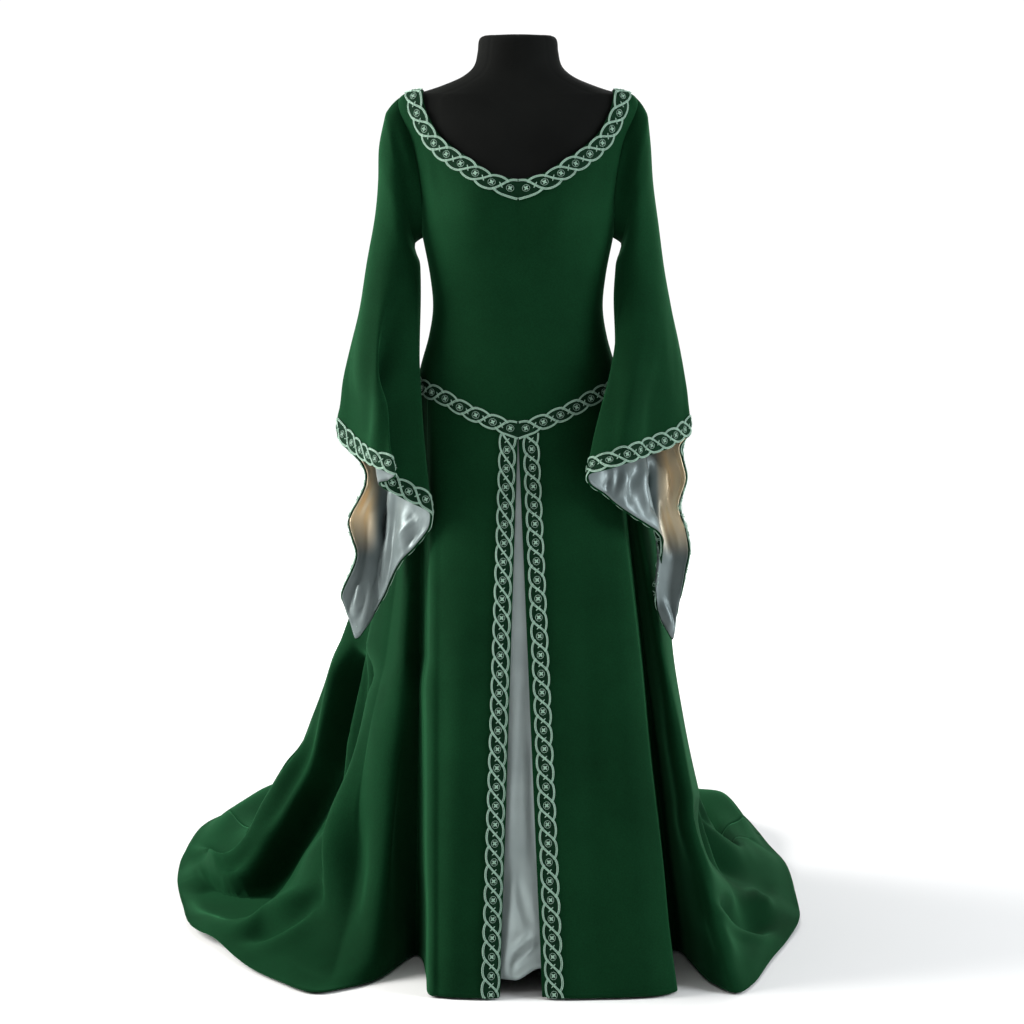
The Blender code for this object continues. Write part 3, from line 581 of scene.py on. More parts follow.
def green_cloth():
    """Dyed cloth with a short nap: a fine twill under soft fibres, a little uneven in its dye."""
    made = Finish("green_cloth_finish", roughness=0.86, specular=0.04, sheen=0.24, sheen_roughness=0.34,
                  sheen_tint=(0.15, 0.72, 0.30))
    cloudy = made.ramp(made.noise(5.0, 5.0, 0.6),
                       (0.30, GREEN_DARK), (0.50, GREEN_MIDDLE), (0.74, GREEN_LIGHT))
    fibre = made.ramp(made.noise(420.0, 3.0, 0.7), (0.32, (0.80, 0.80, 0.80)), (0.68, (1.15, 1.15, 1.15)))
    made.tone(made.mix(1.0, cloudy, fibre, "MULTIPLY"))
    twill = made.node("TexWave", source=made.where, Scale=260.0, Distortion=1.5, Detail=2.0)
    twill.wave_type, twill.bands_direction = "BANDS", "DIAGONAL"
    made.bump(twill.outputs["Fac"], 0.16, 0.0003)
    made.bump(made.noise(750.0, 2.0, 0.6), 0.30, 0.0004)    # the nap
    made.bump(made.noise(16.0, 3.0), 0.10, 0.003)
    return made.material


green = green_cloth()
BODICE_FOLDS = [
    ([(416, 138), (424, 160), (431, 184), (436, 206)], 7.5, -2.2, 0.4, 0.5),
    ([(414, 176), (421, 196), (428, 214), (437, 232)], 6, 1.6, 0.4, 0.6),
    ([(620, 142), (614, 162), (608, 182), (604, 204)], 7.5, -1.6, 0.4, 0.5),
    ([(621, 176), (615, 196), (606, 212), (598, 224)], 6, 1.4, 0.4, 0.6),
    ([(430, 352), (455, 358), (485, 364)], 6, 0.6, 0.3, 0.6),
    ([(602, 342), (582, 352), (556, 360)], 6, 0.6, 0.3, 0.6),
    ([(432, 322), (456, 332), (482, 336)], 5, 0.5, 0.3, 0.6),
]


def bodice(back=False):
    across = np.linspace(-1, 1, BODICE_ACROSS + 1)[None, :]
    near_top = BODICE_DOWN // 2
    down = np.concatenate([ARM_SHARE * (np.linspace(0, 1, near_top + 1) ** 1.6)[:-1],
                           np.linspace(ARM_SHARE, 1, BODICE_DOWN + 1 - near_top)])[:, None]
    across, down = np.broadcast_arrays(across, down)
    places = bodice_place(-across if back else across, down, EASE + CLOTH, back)
    if not back:
        places = press_folds(places, BODICE_FOLDS)
    side = "back" if back else "front"
    piece = cloth_sheet("gown_bodice_" + side, places, green, SHELL)
    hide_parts("bodice_" + side)


bodice()
bodice(back=True)


# Sleeves
# Long bell sleeves in the green cloth, set into the armholes and cut longer at the back of the cuff.
# The lower part is lined with silver satin, turned in at the hem, which shows in the open cuff.

SLEEVE_TOP = 1.33
SLEEVE_COLUMNS = ("down_mm", "outer_x_mm", "outer_z_mm", "inner_x_mm", "inner_z_mm", "y_mm",
                  "half_depth_mm", "yaw")
SLEEVE_LEFT = Sizes(SLEEVE_COLUMNS, [
    (60, -199, 1302, -158, 1108, 0, 60, 0), (110, -209, 1253, -158.5, 1098, 0, 62, 0),
    (155, -211, 1203, -155.5, 1088, 0, 62, 0), (205, -216.5, 1145, -151, 1078, -2, 62, 2),
    (260, -229, 1078, -150, 1062, -6, 63, 5), (315, -239.5, 1015, -150, 1015, -14, 67, 10),
    (368, -250.5, 962, -150, 962, -27, 73, 15), (418, -259.5, 912, -150, 912, -42, 80, 22),
    (457, -266, 873, -149, 873, -58, 88, 31), (517, -275, 813, -144, 813, -78, 96, 36),
    (570, -272, 760, -137, 760, -101, 96, 40), (630, -264, 700, -132, 700, -119, 90, 42),
    (710, -262, 620, -150, 620, -126, 74, 43), (790, -269, 540, -175, 540, -131, 60, 43),
    (870, -264, 460, -200, 460, -135, 44, 43),
])
SLEEVE_RIGHT = Sizes(SLEEVE_COLUMNS, [
    (60, 195, 1300, 158.5, 1108, 0, 60, 0), (110, 200, 1253, 159, 1098, 0, 62, 0),
    (155, 203.5, 1203, 155.5, 1088, 0, 62, 0), (205, 211.5, 1145, 151, 1078, -2, 62, 2),
    (260, 221, 1072, 149, 1056, -6, 63, 6), (315, 230, 1015, 145.5, 1015, -15, 67, 12),
    (368, 238.5, 962, 143, 962, -30, 73, 20), (418, 246, 912, 138, 912, -51, 85, 27),
    (457, 253, 873, 131, 873, -68, 94, 33), (517, 259, 813, 119, 813, -88, 101.5, 38),
    (570, 259, 760, 112, 760, -112, 104, 42), (630, 256, 700, 125, 700, -127, 92, 44),
    (710, 256, 620, 150, 620, -133, 72, 44), (790, 254, 540, 172, 540, -142, 55, 44),
    (870, 248, 460, 190, 460, -150, 40, 44),
])
# The turn round a sleeve is 0 at its outer side, 90 in front, 180 by the body and 270 at the back.
# The hem as it hangs: where it is seen across and up, and how far back of the plain ring it lies.
# The left one has a pleat at turns 62 to 102, and each has a long fold down the middle of its back.
HEM_LEFT = Sizes(("turn", "x_mm", "height_mm", "back_mm"), [
    (0, -235, 788, 0), (12, -224, 784, -4), (30, -210, 781, -10), (48, -194, 777, -14),
    (62, -182, 773, -12), (68, -180, 770, -4), (74, -188, 764, 8), (80, -200, 760, 19),
    (86, -206, 756, 29), (93, -200, 748, 34), (102, -184, 739, 32), (112, -160, 726, 28),
    (121, -135, 713, 26), (127, -130, 704, 26), (136, -133, 683, 24), (150, -154, 654, 20),
    (162, -176, 630, 20), (174, -190, 604, 20), (188, -201, 578, 19), (204, -216, 551, 12),
    (222, -231, 526, 4), (240, -246, 509, 0), (248, -253, 526, 1), (256, -263, 553, 3),
    (262, -269, 573, 3), (268, -262, 594, 0), (274, -251, 617, -4), (279, -245, 640, -5),
    (284, -252, 664, -4), (289, -257, 691, -2), (293, -244, 716, 0), (297, -234, 737, 0),
    (301, -231, 757, 0), (306, -238, 775, 0), (311, -252, 790, 0), (317, -266, 803, 0),
    (325, -273, 814, 0), (335, -265, 806, 0), (348, -249, 795, 2),
], period=360)
HEM_RIGHT = Sizes(("turn", "x_mm", "height_mm", "back_mm"), [
    (0, 223, 804, -2), (15, 204, 800, 2), (32, 185, 795, 6), (50, 167, 791, 0), (68, 144, 786, -6),
    (86, 124, 780, -4), (102, 106, 774, 0), (112, 102, 766, 0), (124, 108, 753, 4), (136, 128, 738, 10),
    (148, 148, 721, 0), (160, 171, 704, -8), (172, 192, 689, -2), (184, 210, 674, 3), (194, 218, 653, 6),
    (204, 217, 629, 6), (213, 214, 605, 5), (222, 209, 580, 3), (231, 212, 555, 0), (240, 223, 530, -2),
    (248, 235, 512, -2), (255, 240, 544, -3), (262, 248, 580, -5), (268, 254, 614, -6),
    (274, 260, 644, -6), (280, 255, 678, -4), (286, 245, 711, -2), (292, 253, 737, 0),
    (297, 257, 756, 0), (302, 251, 780, 0), (308, 247, 798, 0), (315, 256, 812, 0), (325, 261, 821, 0),
    (340, 249, 814, 0), (350, 238, 810, 0),
], period=360)
# How far the back of the outer side, and on the right also the inner side, draws towards +X
DRAWN_LEFT = Sizes(("height_mm", "outer_mm", "inner_mm"), [
    (500, 0, 0), (573, 0, 0), (594, 5, 0), (617, 14, 0), (640, 20.5, 0), (664, 14, 0), (691, 9.5, 0),
    (716, 25, 0), (737, 38, 0), (757, 44, 0), (778, 36, 0), (800, 15, 0), (830, 0, 0), (870, 0, 0),
])
DRAWN_RIGHT = Sizes(("height_mm", "outer_mm", "inner_mm"), [
    (500, 0, 0), (555, -6, 6), (580, -10, 10), (614, -5, 16), (644, 1, 18), (678, -4, 12),
    (711, -14.5, 4), (737, -8, 1), (756, -5, 0), (780, -11, 0), (798, -13, 0), (830, 0, 0), (870, 0, 0),
])
HANGS_FROM = 0.42           # share of the sleeve from which it hangs as its hem does
BEHIND = (190, 35, 300, 45)             # turns over which the outer side draws: from, over, until, over
NEAR_BODY = (175, 30, 255, 30)          # and the inner side
BACK_FOLDS_FROM, BACK_FOLDS_OVER = 0.25, 0.3            # shares of the sleeve
SLEEVE_HEAD = 0.060
HEAD_SMOOTH = 0.25          # how much the sleeve's head follows the slope of the ring below it
LEAST_OWN = 0.35            # of a ring's half width, the least that is left of it when the ring is turned
SLEEVE_SEAM = 0.0006
SLEEVE_AROUND = 220
SLEEVE_DOWN = 84
LINED_FROM = 0.42           # share of the sleeve from which it is lined
LINING = 0.0009             # thickness of the lining
LINING_GAP = 0.0008
LINING_TURNED_UP = 0.0015   # how far the lining ends above the hem


def sleeve_ring(table, down, turn):
    side = -1.0 if table is SLEEVE_LEFT else 1.0
    outer_x, inner_x = table.at("outer_x", down), table.at("inner_x", down)
    outer_z, inner_z = table.at("outer_z", down), table.at("inner_z", down)
    depth, yaw = table.at("half_depth", down), np.radians(table.at("yaw", down))
    half_x, half_z = (outer_x - inner_x) / 2, (outer_z - inner_z) / 2
    wide = np.abs(half_x)
    # The ring's own half width, so that the turned ring still reaches from the inner to the outer side
    own = np.sqrt(np.maximum(wide**2 - (depth * np.sin(yaw))**2, (LEAST_OWN * wide)**2)) / np.cos(yaw)
    c, s = np.cos(np.radians(turn)), np.sin(np.radians(turn))
    return np.stack([(outer_x + inner_x) / 2 + side * (own * np.cos(yaw) * c - np.sin(yaw) * depth * s),
                     table.at("y", down) - own * np.sin(yaw) * c - np.cos(yaw) * depth * s,
                     (outer_z + inner_z) / 2 + half_z * c], -1)


def sleeve_head(table, down, turn):
    """Between the armhole and the first ring: a curve that meets the ring smoothly."""
    step = 0.01
    turned = np.mod(turn, 360)
    share = np.where(turned > 180, 360 - turned, turned) / 180
    armhole = np.where((turned > 180)[..., None], armhole_at(share, True), armhole_at(share))
    start = over_torso(armhole, SLEEVE_SEAM, rounds=1)
    if table is SLEEVE_LEFT:
        start[..., 0] *= -1
    end = sleeve_ring(table, SLEEVE_HEAD + 0 * down, turn)
    slope = (sleeve_ring(table, SLEEVE_HEAD + step + 0 * down, turn) - end) / step
    middle = HEAD_SMOOTH * (end - slope * SLEEVE_HEAD / 2) + (1 - HEAD_SMOOTH) * (start + end) / 2
    t = np.clip(down / SLEEVE_HEAD, 0, 1)[..., None]
    return (1 - t)**2 * start + 2 * t * (1 - t) * middle + t**2 * end


def sleeve_place(table, down, turn):
    down, turn = np.broadcast_arrays(np.asarray(down, float), np.asarray(turn, float))
    return np.where((down < SLEEVE_HEAD)[..., None], sleeve_head(table, down, turn),
                    sleeve_ring(table, down, turn))


def hem_down(table, turn):
    hem = HEM_LEFT if table is SLEEVE_LEFT else HEM_RIGHT
    return SLEEVE_TOP - hem.at("height", np.mod(turn, 360))


def sleeve_turns(table):
    turns = 360 * np.arange(SLEEVE_AROUND) / SLEEVE_AROUND
    return turns if table is SLEEVE_LEFT else turns[::-1]


# Folds on the front view: line in picture pixels, width and depth in millimetres, shares that fade in
# and out, and how much steeper the fold is on its left
SLEEVE_FOLDS_LEFT = [
    ([(392, 128), (402, 165), (412, 205), (418, 246)], 8, 3, 0.35, 0.4),
    ([(398, 112), (406, 150), (413, 184)], 6, -2, 0.5, 0.5),
    ([(384, 140), (392, 190), (404, 240), (410, 300)], 10, -2, 0.5, 0.5),
    ([(420, 250), (414, 310), (410, 370), (408, 430)], 8, -2.4, 0.4, 0.3),
    ([(409, 262), (401, 320), (397, 380), (394, 452)], 12, 4, 0.5, 0),
    ([(380, 300), (376, 350), (372, 400), (366, 440)], 15, 3, 0.6, 0.1),
    ([(391, 280), (386, 350), (383, 420), (380, 446)], 10, -2.2, 0.6, 0),
]
SLEEVE_FOLDS_RIGHT = [
    ([(632, 128), (626, 165), (620, 205), (616, 236)], 8, 2.8, 0.4, 0.4),
    ([(626, 120), (620, 160), (614, 200)], 6, -1.6, 0.5, 0.5),
    ([(645, 150), (640, 200), (632, 250), (620, 300)], 11, -2, 0.5, 0.5),
    ([(622, 262), (616, 330), (612, 400), (607, 452)], 10, 3, 0.5, 0),
    ([(640, 290), (642, 350), (646, 400), (650, 432)], 15, 3, 0.6, 0),
    ([(655, 270), (662, 330), (668, 390), (672, 425)], 10, -2, 0.6, 0),
]
LINING_FOLDS_LEFT = [
    ([(387, 470), (386, 505), (384, 535), (380, 565), (372, 600)], 7, 22, 0.25, 0.4, -0.3),
    ([(406, 500), (404, 530), (398, 556)], 8, -6, 0.4, 0.4),
    ([(426, 524), (416, 534), (406, 546)], 4.5, 5, 0.4, 0.4),
    ([(420, 518), (409, 528), (400, 542)], 4, -4, 0.4, 0.4),
    ([(371, 478), (367, 500), (358, 520)], 5.5, -6, 0.4, 0.4),
    ([(362, 575), (358, 600), (353, 618)], 5, -6, 0.4, 0.3),
]
LINING_FOLDS_RIGHT = [
    ([(663, 450), (666, 490), (672, 520), (684, 548)], 5.5, -7, 0.3, 0.45, -0.3),
    ([(664, 492), (669, 525), (676, 562)], 7.5, 9, 0.4, 0.4),
    ([(642, 460), (640, 488), (647, 518)], 5, -8, 0.3, 0.3),
    ([(650, 462), (650, 490), (655, 520)], 5, 7, 0.3, 0.3),
    ([(624, 468), (622, 486), (614, 498)], 4.5, -6, 0.3, 0.3),
    ([(632, 468), (631, 490), (628, 508)], 4.5, 6, 0.3, 0.3),
    ([(610, 476), (606, 486), (600, 488)], 4, 4, 0.3, 0.3),
    ([(660, 600), (668, 618), (672, 634)], 4.5, -6, 0.3, 0.3),
]
SLEEVE_BACK_FOLDS = Sizes(("turn", "out_mm"), [
    (0, 0), (170, 0), (188, -3), (205, 3.5), (226, -3), (250, 4), (275, -3.5), (300, 2), (325, -1),
    (345, 0), (360, 0),
])


def sleeve_sheet(table, folds):
    """The sleeve's places from the armhole to the hem, with its folds."""
    turns = sleeve_turns(table)[None, :]
    share = np.linspace(0, 1, SLEEVE_DOWN + 1)[:, None]
    places = sleeve_place(table, share * hem_down(table, turns), turns)
    normals = normals_of(places, ring=True)
    back = SLEEVE_BACK_FOLDS.at("out", np.mod(turns, 360))
    out = CLOTH + back * np.clip((share - BACK_FOLDS_FROM) / BACK_FOLDS_OVER, 0, 1)
    places = press_folds(places + normals * out[..., None], folds, ring=True)
    left, turned = table is SLEEVE_LEFT, np.mod(turns[0], 360)
    drawn = DRAWN_LEFT if left else DRAWN_RIGHT
    down = SLEEVE_TOP - places[..., 2]
    inner, outer = table.at("inner_x", down), table.at("outer_x", down)
    outward = np.clip((places[..., 0] - inner) / (outer - inner), 0, 1)
    for side, reach, (start, rise, end, fall) in (("outer", outward, BEHIND),
                                                  ("inner", 1 - outward, NEAR_BODY)):
        strength = smooth_step((turned - start) / rise) * (1 - smooth_step((turned - end) / fall))
        places[..., 0] += drawn.at(side, SLEEVE_TOP - down) * reach * strength
    hem, hangs = places[-1], HEM_LEFT if left else HEM_RIGHT
    goal = np.stack([hangs.at("x", turned), hem[:, 1] + hangs.at("back", turned),
                     hangs.at("height", turned)], -1)
    places = places + smooth_step((share - HANGS_FROM) / (1 - HANGS_FROM))[..., None] * (goal - hem)
    return press_folds(places, LINING_FOLDS_LEFT if left else LINING_FOLDS_RIGHT, ring=True, inside=True)


def satin(name, light, dark, painted_highlight=False):
    """Silver satin: long smooth floats that run down the cloth, and a soft gleam. The sleeves' lining
    has a painted champagne highlight where it lies outermost."""
    made = Finish(name, roughness=0.40, metallic=0.30, specular=0.40, sheen=0.10, sheen_roughness=0.30,
                  anisotropic=0.45)
    tone = made.ramp(made.noise(11.0, 3.0), (0.30, dark), (0.72, light))
    if painted_highlight:
        # Painted highlight: the tone turns champagne in a patch at the cuffs' outer sides, across and up
        split = made.node("SeparateXYZ", source=made.where)
        outward = made.node("Math", 0, split.outputs["X"])
        outward.operation = "ABSOLUTE"
        highlight_patch = made.node("Math", 0, made.soft_share(outward.outputs["Value"], *HIGHLIGHT_ACROSS))
        highlight_patch.operation = "MULTIPLY"
        made.link(made.soft_share(split.outputs["Z"], *HIGHLIGHT_HEIGHT), highlight_patch.inputs[1])
        tone = made.mix(highlight_patch.outputs["Value"], tone, CHAMPAGNE_HIGHLIGHT)
    made.tone(tone)
    floats = made.node("Mapping", source=made.where, Scale=(1.0, 1.0, 0.06))
    made.bump(made.noise(900.0, where=floats.outputs["Vector"]), 0.10, 0.0003)
    made.bump(made.noise(24.0), 0.25, 0.004)
    return made.material


# The lining's painted champagne highlight: its colour, and the patch across and up where it lies
CHAMPAGNE_HIGHLIGHT = (0.99, 0.82, 0.56, 1)
HIGHLIGHT_ACROSS = (0.209, 0.229)    # from the middle of the gown
HIGHLIGHT_HEIGHT = (0.630, 0.700)
# The lining is the panel's silver satin in darker tones: painted shade for the inside of the sleeves
silver = satin("silver_satin", (0.56, 0.665, 0.655), (0.41, 0.495, 0.495))
lining_satin_painted_shade = satin("lining_satin_painted_shade", (0.175, 0.216, 0.216), (0.110, 0.142, 0.144), painted_highlight=True)


def sleeve(side):
    table = SLEEVE_LEFT if side == "left" else SLEEVE_RIGHT
    places = sleeve_sheet(table, SLEEVE_FOLDS_LEFT if side == "left" else SLEEVE_FOLDS_RIGHT)
    piece = cloth_sheet("gown_sleeve_" + side, places, green, SHELL, ring=True)
    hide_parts("sleeve_" + side)
    normals = normals_of(places, ring=True)
    first = int(LINED_FROM * SLEEVE_DOWN)
    # The lining is a little smoother than the cloth, and so stays inside it in sharp folds
    inward = np.mean([np.roll(normals, (k, n), (0, 1)) for k in (-2, 0, 2) for n in range(-3, 4)], axis=0)
    inward /= np.linalg.norm(inward, axis=-1, keepdims=True)
    lined = (places - inward * (SHELL + LINING_GAP))[first:]
    step = lined[-2] - lined[-1]
    lined[-1] += step / np.linalg.norm(step, axis=-1, keepdims=True) * LINING_TURNED_UP
    lining = cloth_sheet("gown_lining_" + side, lined, lining_satin_painted_shade, LINING, ring=True)
    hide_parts("sleeve_lining_" + side)
    return places


left_places = sleeve("left")
right_places = sleeve("right")


# Skirt
# Two front panels that stand open over a satin panel, a panel at each side and a train at the back,
# in the green cloth. They hang from the girdle seam, and the sides and the back lie out on the floor.

FLOOR_CLEARANCE = 0.0012
SKIRT_COLUMNS = ("angle", "land_x_mm", "land_y_mm", "hem_x_mm", "hem_y_mm")
SKIRT_LEFT = Sizes(SKIRT_COLUMNS, [
    (0, -27, -262, -27, -262), (15, -52, -268, -52, -268), (30, -85, -266, -85, -266),
    (45, -117, -258, -117, -258), (55, -134, -240, -134, -240), (60, -140, -145, -140, -145),
    (63.5, -147, -70, -147, -70), (66.5, -158, -45, -158, -45), (69.5, -172, -55, -172, -65),
    (73, -189, -70, -190, -110), (76, -212, -65, -217, -175), (78, -240, -40, -255, -215),
    (82, -285, 0, -310, -240), (86, -325, 60, -370, -180), (90, -345, 110, -425, -105),
    (94, -340, 170, -475, -10), (98, -330, 220, -525, 80), (103, -350, 270, -555, 220),
    (109, -400, 320, -580, 370), (116, -445, 390, -595, 540), (124, -455, 460, -580, 730),
    (134, -410, 520, -520, 920), (148, -290, 560, -380, 1080), (164, -140, 560, -200, 1170),
    (180, 0, 540, 0, 1190), (196, 140, 560, 200, 1170),
])
SKIRT_RIGHT = Sizes(SKIRT_COLUMNS, [
    (0, 36, -262, 36, -262), (15, 70, -268, 70, -268), (30, 115, -268, 115, -268),
    (45, 170, -262, 170, -262), (58, 236, -238, 236, -238), (63, 240, -170, 240, -170),
    (66.5, 242, -30, 243, -35), (70, 252, 0, 256, -35), (73, 262, -70, 268, -90),
    (76, 276, -150, 284, -165), (79, 290, -170, 298, -200), (84, 308, -140, 326, -240),
    (89, 318, -60, 356, -190), (94, 316, 40, 388, -85), (99, 300, 150, 425, 20),
    (105, 288, 220, 458, 140), (112, 292, 300, 470, 300), (120, 298, 380, 465, 500),
    (130, 288, 460, 440, 710), (144, 220, 530, 370, 930), (162, 120, 550, 200, 1130),
    (180, 0, 540, 0, 1190), (198, -120, 550, -200, 1130),
])
LEFT_SEAM, RIGHT_SEAM, BACK_SEAM = 60, 63, 128
SOFT_LANDING = 0.22         # run on the floor from which a column lands in a full curve
THIGH = np.array([0.30, 0.30, 0.34])    # the curve's second point, as shares of the way from hips to floor
SHIN = np.array([0.86, 0.86, 1.0])      # and its third, before that is lifted
SHIN_LIFT = 0.07
SKIRT_DOWN = 124


def skirt_place(angle, share):
    """Places on the skirt's inner side, at a share of each column's curve from hips to hem."""
    angle, share = np.broadcast_arrays(np.asarray(angle, float), np.asarray(share, float))
    key, left = np.abs(angle), angle < 0
    hips = over_torso(torso_point(angle, girdle_height(angle)), EASE, rounds=1)
    land, hem = (np.stack([np.where(left, SKIRT_LEFT.at(name, key), SKIRT_RIGHT.at(name, key))
                           for name in (place + "_x", place + "_y")]
                          + [np.full(angle.shape, FLOOR_CLEARANCE)], -1) for place in ("land", "hem"))
    run = np.minimum(np.linalg.norm(hem - land, axis=-1) / SOFT_LANDING, 1.0)[..., None]
    thigh, shin = hips + (land - hips) * THIGH, hips + (land - hips) * SHIN
    shin[..., 2] = FLOOR_CLEARANCE + SHIN_LIFT * (hips[..., 2] - FLOOR_CLEARANCE)
    t = share[..., None]
    made = 0
    for step, landed in enumerate([hips, thigh, shin, land, hem]):
        straight = hips + (hem - hips) * step / 4
        weight = math.comb(4, step) * t**step * (1 - t)**(4 - step)
        made = made + weight * (run * landed + (1 - run) * straight)
    return made


SKIRT_FOLDS = [
    ([(356, 640), (346, 690), (331, 756), (306, 803), (284, 838), (264, 868), (240, 888), (220, 886),
      (204, 870), (194, 856)], 24, 52, 0.12, 0.15, 0.6),
    ([(318, 712), (306, 750), (286, 786), (271, 812), (258, 838), (239, 859), (220, 863), (201, 850),
      (184, 842)], 8, -22, 0.3, 0.2, 0.3),
    ([(330, 800), (306, 850), (280, 888), (246, 908), (214, 910)], 22, -9, 0.4, 0.4),
    ([(336, 872), (310, 896), (280, 917), (253, 931), (222, 936)], 12, -13, 0.4, 0.4, -0.4),
    ([(334, 892), (308, 912), (280, 931), (253, 944), (224, 951)], 10, 13, 0.4, 0.4),
    ([(368, 640), (361, 700), (351, 776), (343, 830), (335, 880), (326, 930)], 14, -22, 0.2, 0.35, 0.5),
    ([(352, 690), (341, 770), (331, 830), (322, 880)], 14, 16, 0.35, 0.4),
    ([(400, 640), (402, 760), (400, 870), (392, 950)], 16, 7, 0.4, 0.4),
    ([(384, 620), (380, 760), (374, 880), (362, 965)], 18, -7, 0.4, 0.3),
    ([(360, 800), (356, 880), (346, 950)], 14, 6, 0.4, 0.4),
    ([(700, 790), (707, 820), (718, 848), (732, 870), (748, 886)], 12, 20, 0.3, 0.4, -0.3),
    ([(714, 790), (726, 822), (742, 850), (760, 876)], 16, -14, 0.4, 0.4),
    ([(720, 892), (730, 908), (744, 921), (762, 928), (784, 928)], 11, 18, 0.3, 0.4, 0.3),
    ([(742, 886), (756, 903), (780, 912)], 14, -14, 0.4, 0.4),
    ([(708, 900), (720, 935), (738, 970)], 14, -8, 0.4, 0.4),
    ([(664, 660), (674, 740), (688, 820), (700, 890)], 14, -8, 0.4, 0.4),
    ([(470, 500), (460, 680), (452, 840), (449, 960)], 26, -3.5, 0.4, 0),
    ([(440, 560), (440, 720), (438, 860), (437, 980)], 14, 2.5, 0.4, 0),
    ([(584, 520), (590, 680), (592, 840), (592, 980)], 24, 3.5, 0.4, 0),
    ([(612, 520), (622, 680), (634, 840), (644, 980)], 26, -5, 0.4, 0),
]
HANGING_FOLDS = Sizes(("angle", "out_mm"), [
    (-180, 4), (-171, -6), (-163, 7), (-152, -8), (-143, 6), (-134, -7), (-126, 5), (-117, -6),
    (-110, 6), (-103, -3), (-96, 0), (0, 0), (96, 0), (102, 4), (108, -6), (116, 6), (124, -7), (133, 5),
    (141, -8), (150, 6), (158, -5), (168, 7), (176, -3), (180, 4),
])
RIPPLES = Sizes(("angle", "up_mm"), [
    (-180, 10), (-172, 3), (-165, 14), (-157, 4), (-149, 12), (-140, 3), (-131, 13), (-122, 4),
    (-114, 12), (-106, 4), (-99, 11), (-93, 4), (-87, 10), (-82, 3), (-76, 6), (-70, 0), (0, 0), (72, 0),
    (80, 6), (86, 3), (92, 10), (99, 3), (106, 12), (114, 4), (123, 13), (132, 3), (142, 12), (151, 4),
    (160, 14), (170, 4), (180, 10),
])
TRAIN_ROLLS = Sizes(("angle", "up_mm"), [
    (-180, 6), (-168, 24), (-158, 12), (-148, 46), (-138, 58), (-130, 30), (-122, 8), (-110, 0),
    (108, 0), (116, 16), (124, 46), (134, 68), (143, 56), (152, 22), (163, 28), (172, 8), (180, 6),
])
ROLL_AT, ROLL_WIDTH = 0.90, 0.075       # shares of a column
SWAY, SWAY_TURNS = 3.0, 4.0             # how far, in degrees, the hanging folds sway on their way down
HANG_FROM, HANG_OVER = 0.06, 0.45
RIPPLE_REACH = 0.045                    # height over the floor at which the ripples have run out
CALM_HEM, CALM_FROM = 0.75, 0.93        # how much flatter they are at the hem, and from where
# On the right the cloth stands out below the hip, behind the cuff
HIP_SWELL = Sizes(("angle", "out_mm"), [
    (-180, 0), (80, 0), (88, 10), (98, 30), (108, 34), (120, 28), (134, 12), (150, 0), (180, 0),
])
SWELL_HEIGHT, SWELL_REACH = 0.640, 0.140


def skirt_sheet(angles):
    """The places of a panel's outer side, with its folds and, where it lies on the floor, its ripples."""
    share = np.linspace(0, 1, SKIRT_DOWN + 1)[:, None]
    places = skirt_place(angles[None, :], share)
    normals = normals_of(places)
    bent = angles[None, :] + SWAY * np.sin(SWAY_TURNS * share)
    hang = HANGING_FOLDS.at("out", bent) * smooth_step((share - HANG_FROM) / HANG_OVER)
    low = np.exp(-(places[..., 2] / RIPPLE_REACH) ** 2)
    calm = CALM_HEM * smooth_step((share - CALM_FROM) / (1 - CALM_FROM))
    ripple = RIPPLES.at("up", bent) * low * (1 - calm)
    ripple = ripple + TRAIN_ROLLS.at("up", bent) * np.exp(-((share - ROLL_AT) / ROLL_WIDTH) ** 2)
    level = np.exp(-((places[..., 2] - SWELL_HEIGHT) / SWELL_REACH) ** 2)
    swell = HIP_SWELL.at("out", angles)[None, :] * level
    places = press_folds(places + normals * (CLOTH + hang + ripple + swell)[..., None], SKIRT_FOLDS)
    places[..., 2] = np.maximum(places[..., 2], FLOOR_CLEARANCE + SHELL)
    return places


# Panel, the angles of its seams, its columns, and its cut's width, length and area
SKIRT_PANELS = [
    ("front_left", -LEFT_SEAM, -0.001, 80, 0.22, 0.90, 0.161),
    ("front_right", 0.001, RIGHT_SEAM, 84, 0.28, 0.91, 0.192),
    ("side_left", -BACK_SEAM, -LEFT_SEAM, 176, 1.50, 1.33, 0.675),
    ("side_right", RIGHT_SEAM, BACK_SEAM, 156, 1.34, 1.26, 0.611),
    ("back", BACK_SEAM, 360 - BACK_SEAM, 160, 1.55, 1.56, 1.088),
]


def skirt_panel(panel, start, end, columns, width, length, area):
    angles = np.linspace(start, end, columns + 1)
    places = skirt_sheet(np.where(angles <= 180, angles, angles - 360))
    piece = cloth_sheet("gown_skirt_" + panel, places, green, SHELL)
    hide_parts("skirt_" + panel)


for panel in SKIRT_PANELS:
    skirt_panel(*panel)


# Satin panel in the slit
# A straight panel of silver satin, sewn in under the front panels from seam to seam. It hangs free to
# just over the floor in soft upright flutes.

SATIN_LEFT, SATIN_RIGHT = -24, 26           # angles at the hips between which it is sewn in
SATIN_HEM_LEFT, SATIN_HEM_RIGHT = -0.085, 0.105
SATIN_HEM_Y = -0.230
SATIN_HEM_HEIGHT = 0.019
SATIN_HEM_RISE = 0.016      # how much higher its right half is caught up
SATIN_THICKNESS = 0.0010
SATIN_TUCKED = 0.003        # below the girdle seam
SATIN_BEHIND = 0.0008       # its top lies so far inside the form's surface, in the padding
SATIN_ACROSS, SATIN_DOWN = 80, 110
SATIN_STEPS = (0.42, 0.20)  # shares across from which, and over which, the hem rises
FLUTE_SWAY, FLUTE_TURNS = 0.04, 3.4
FLUTE_RATE, FLUTE_POWER = 1.3, 1.4          # how the flutes grow on their way down
SATIN_SET_BACK = 0.001
SATIN_FLUTES = Sizes(("share", "out_mm"), [
    (0, 0), (0.14, 6), (0.27, -4), (0.35, 1), (0.43, 5), (0.5, 2), (0.57, -1.5), (0.65, -3), (0.76, 4),
    (0.88, -4), (1, 0),
])
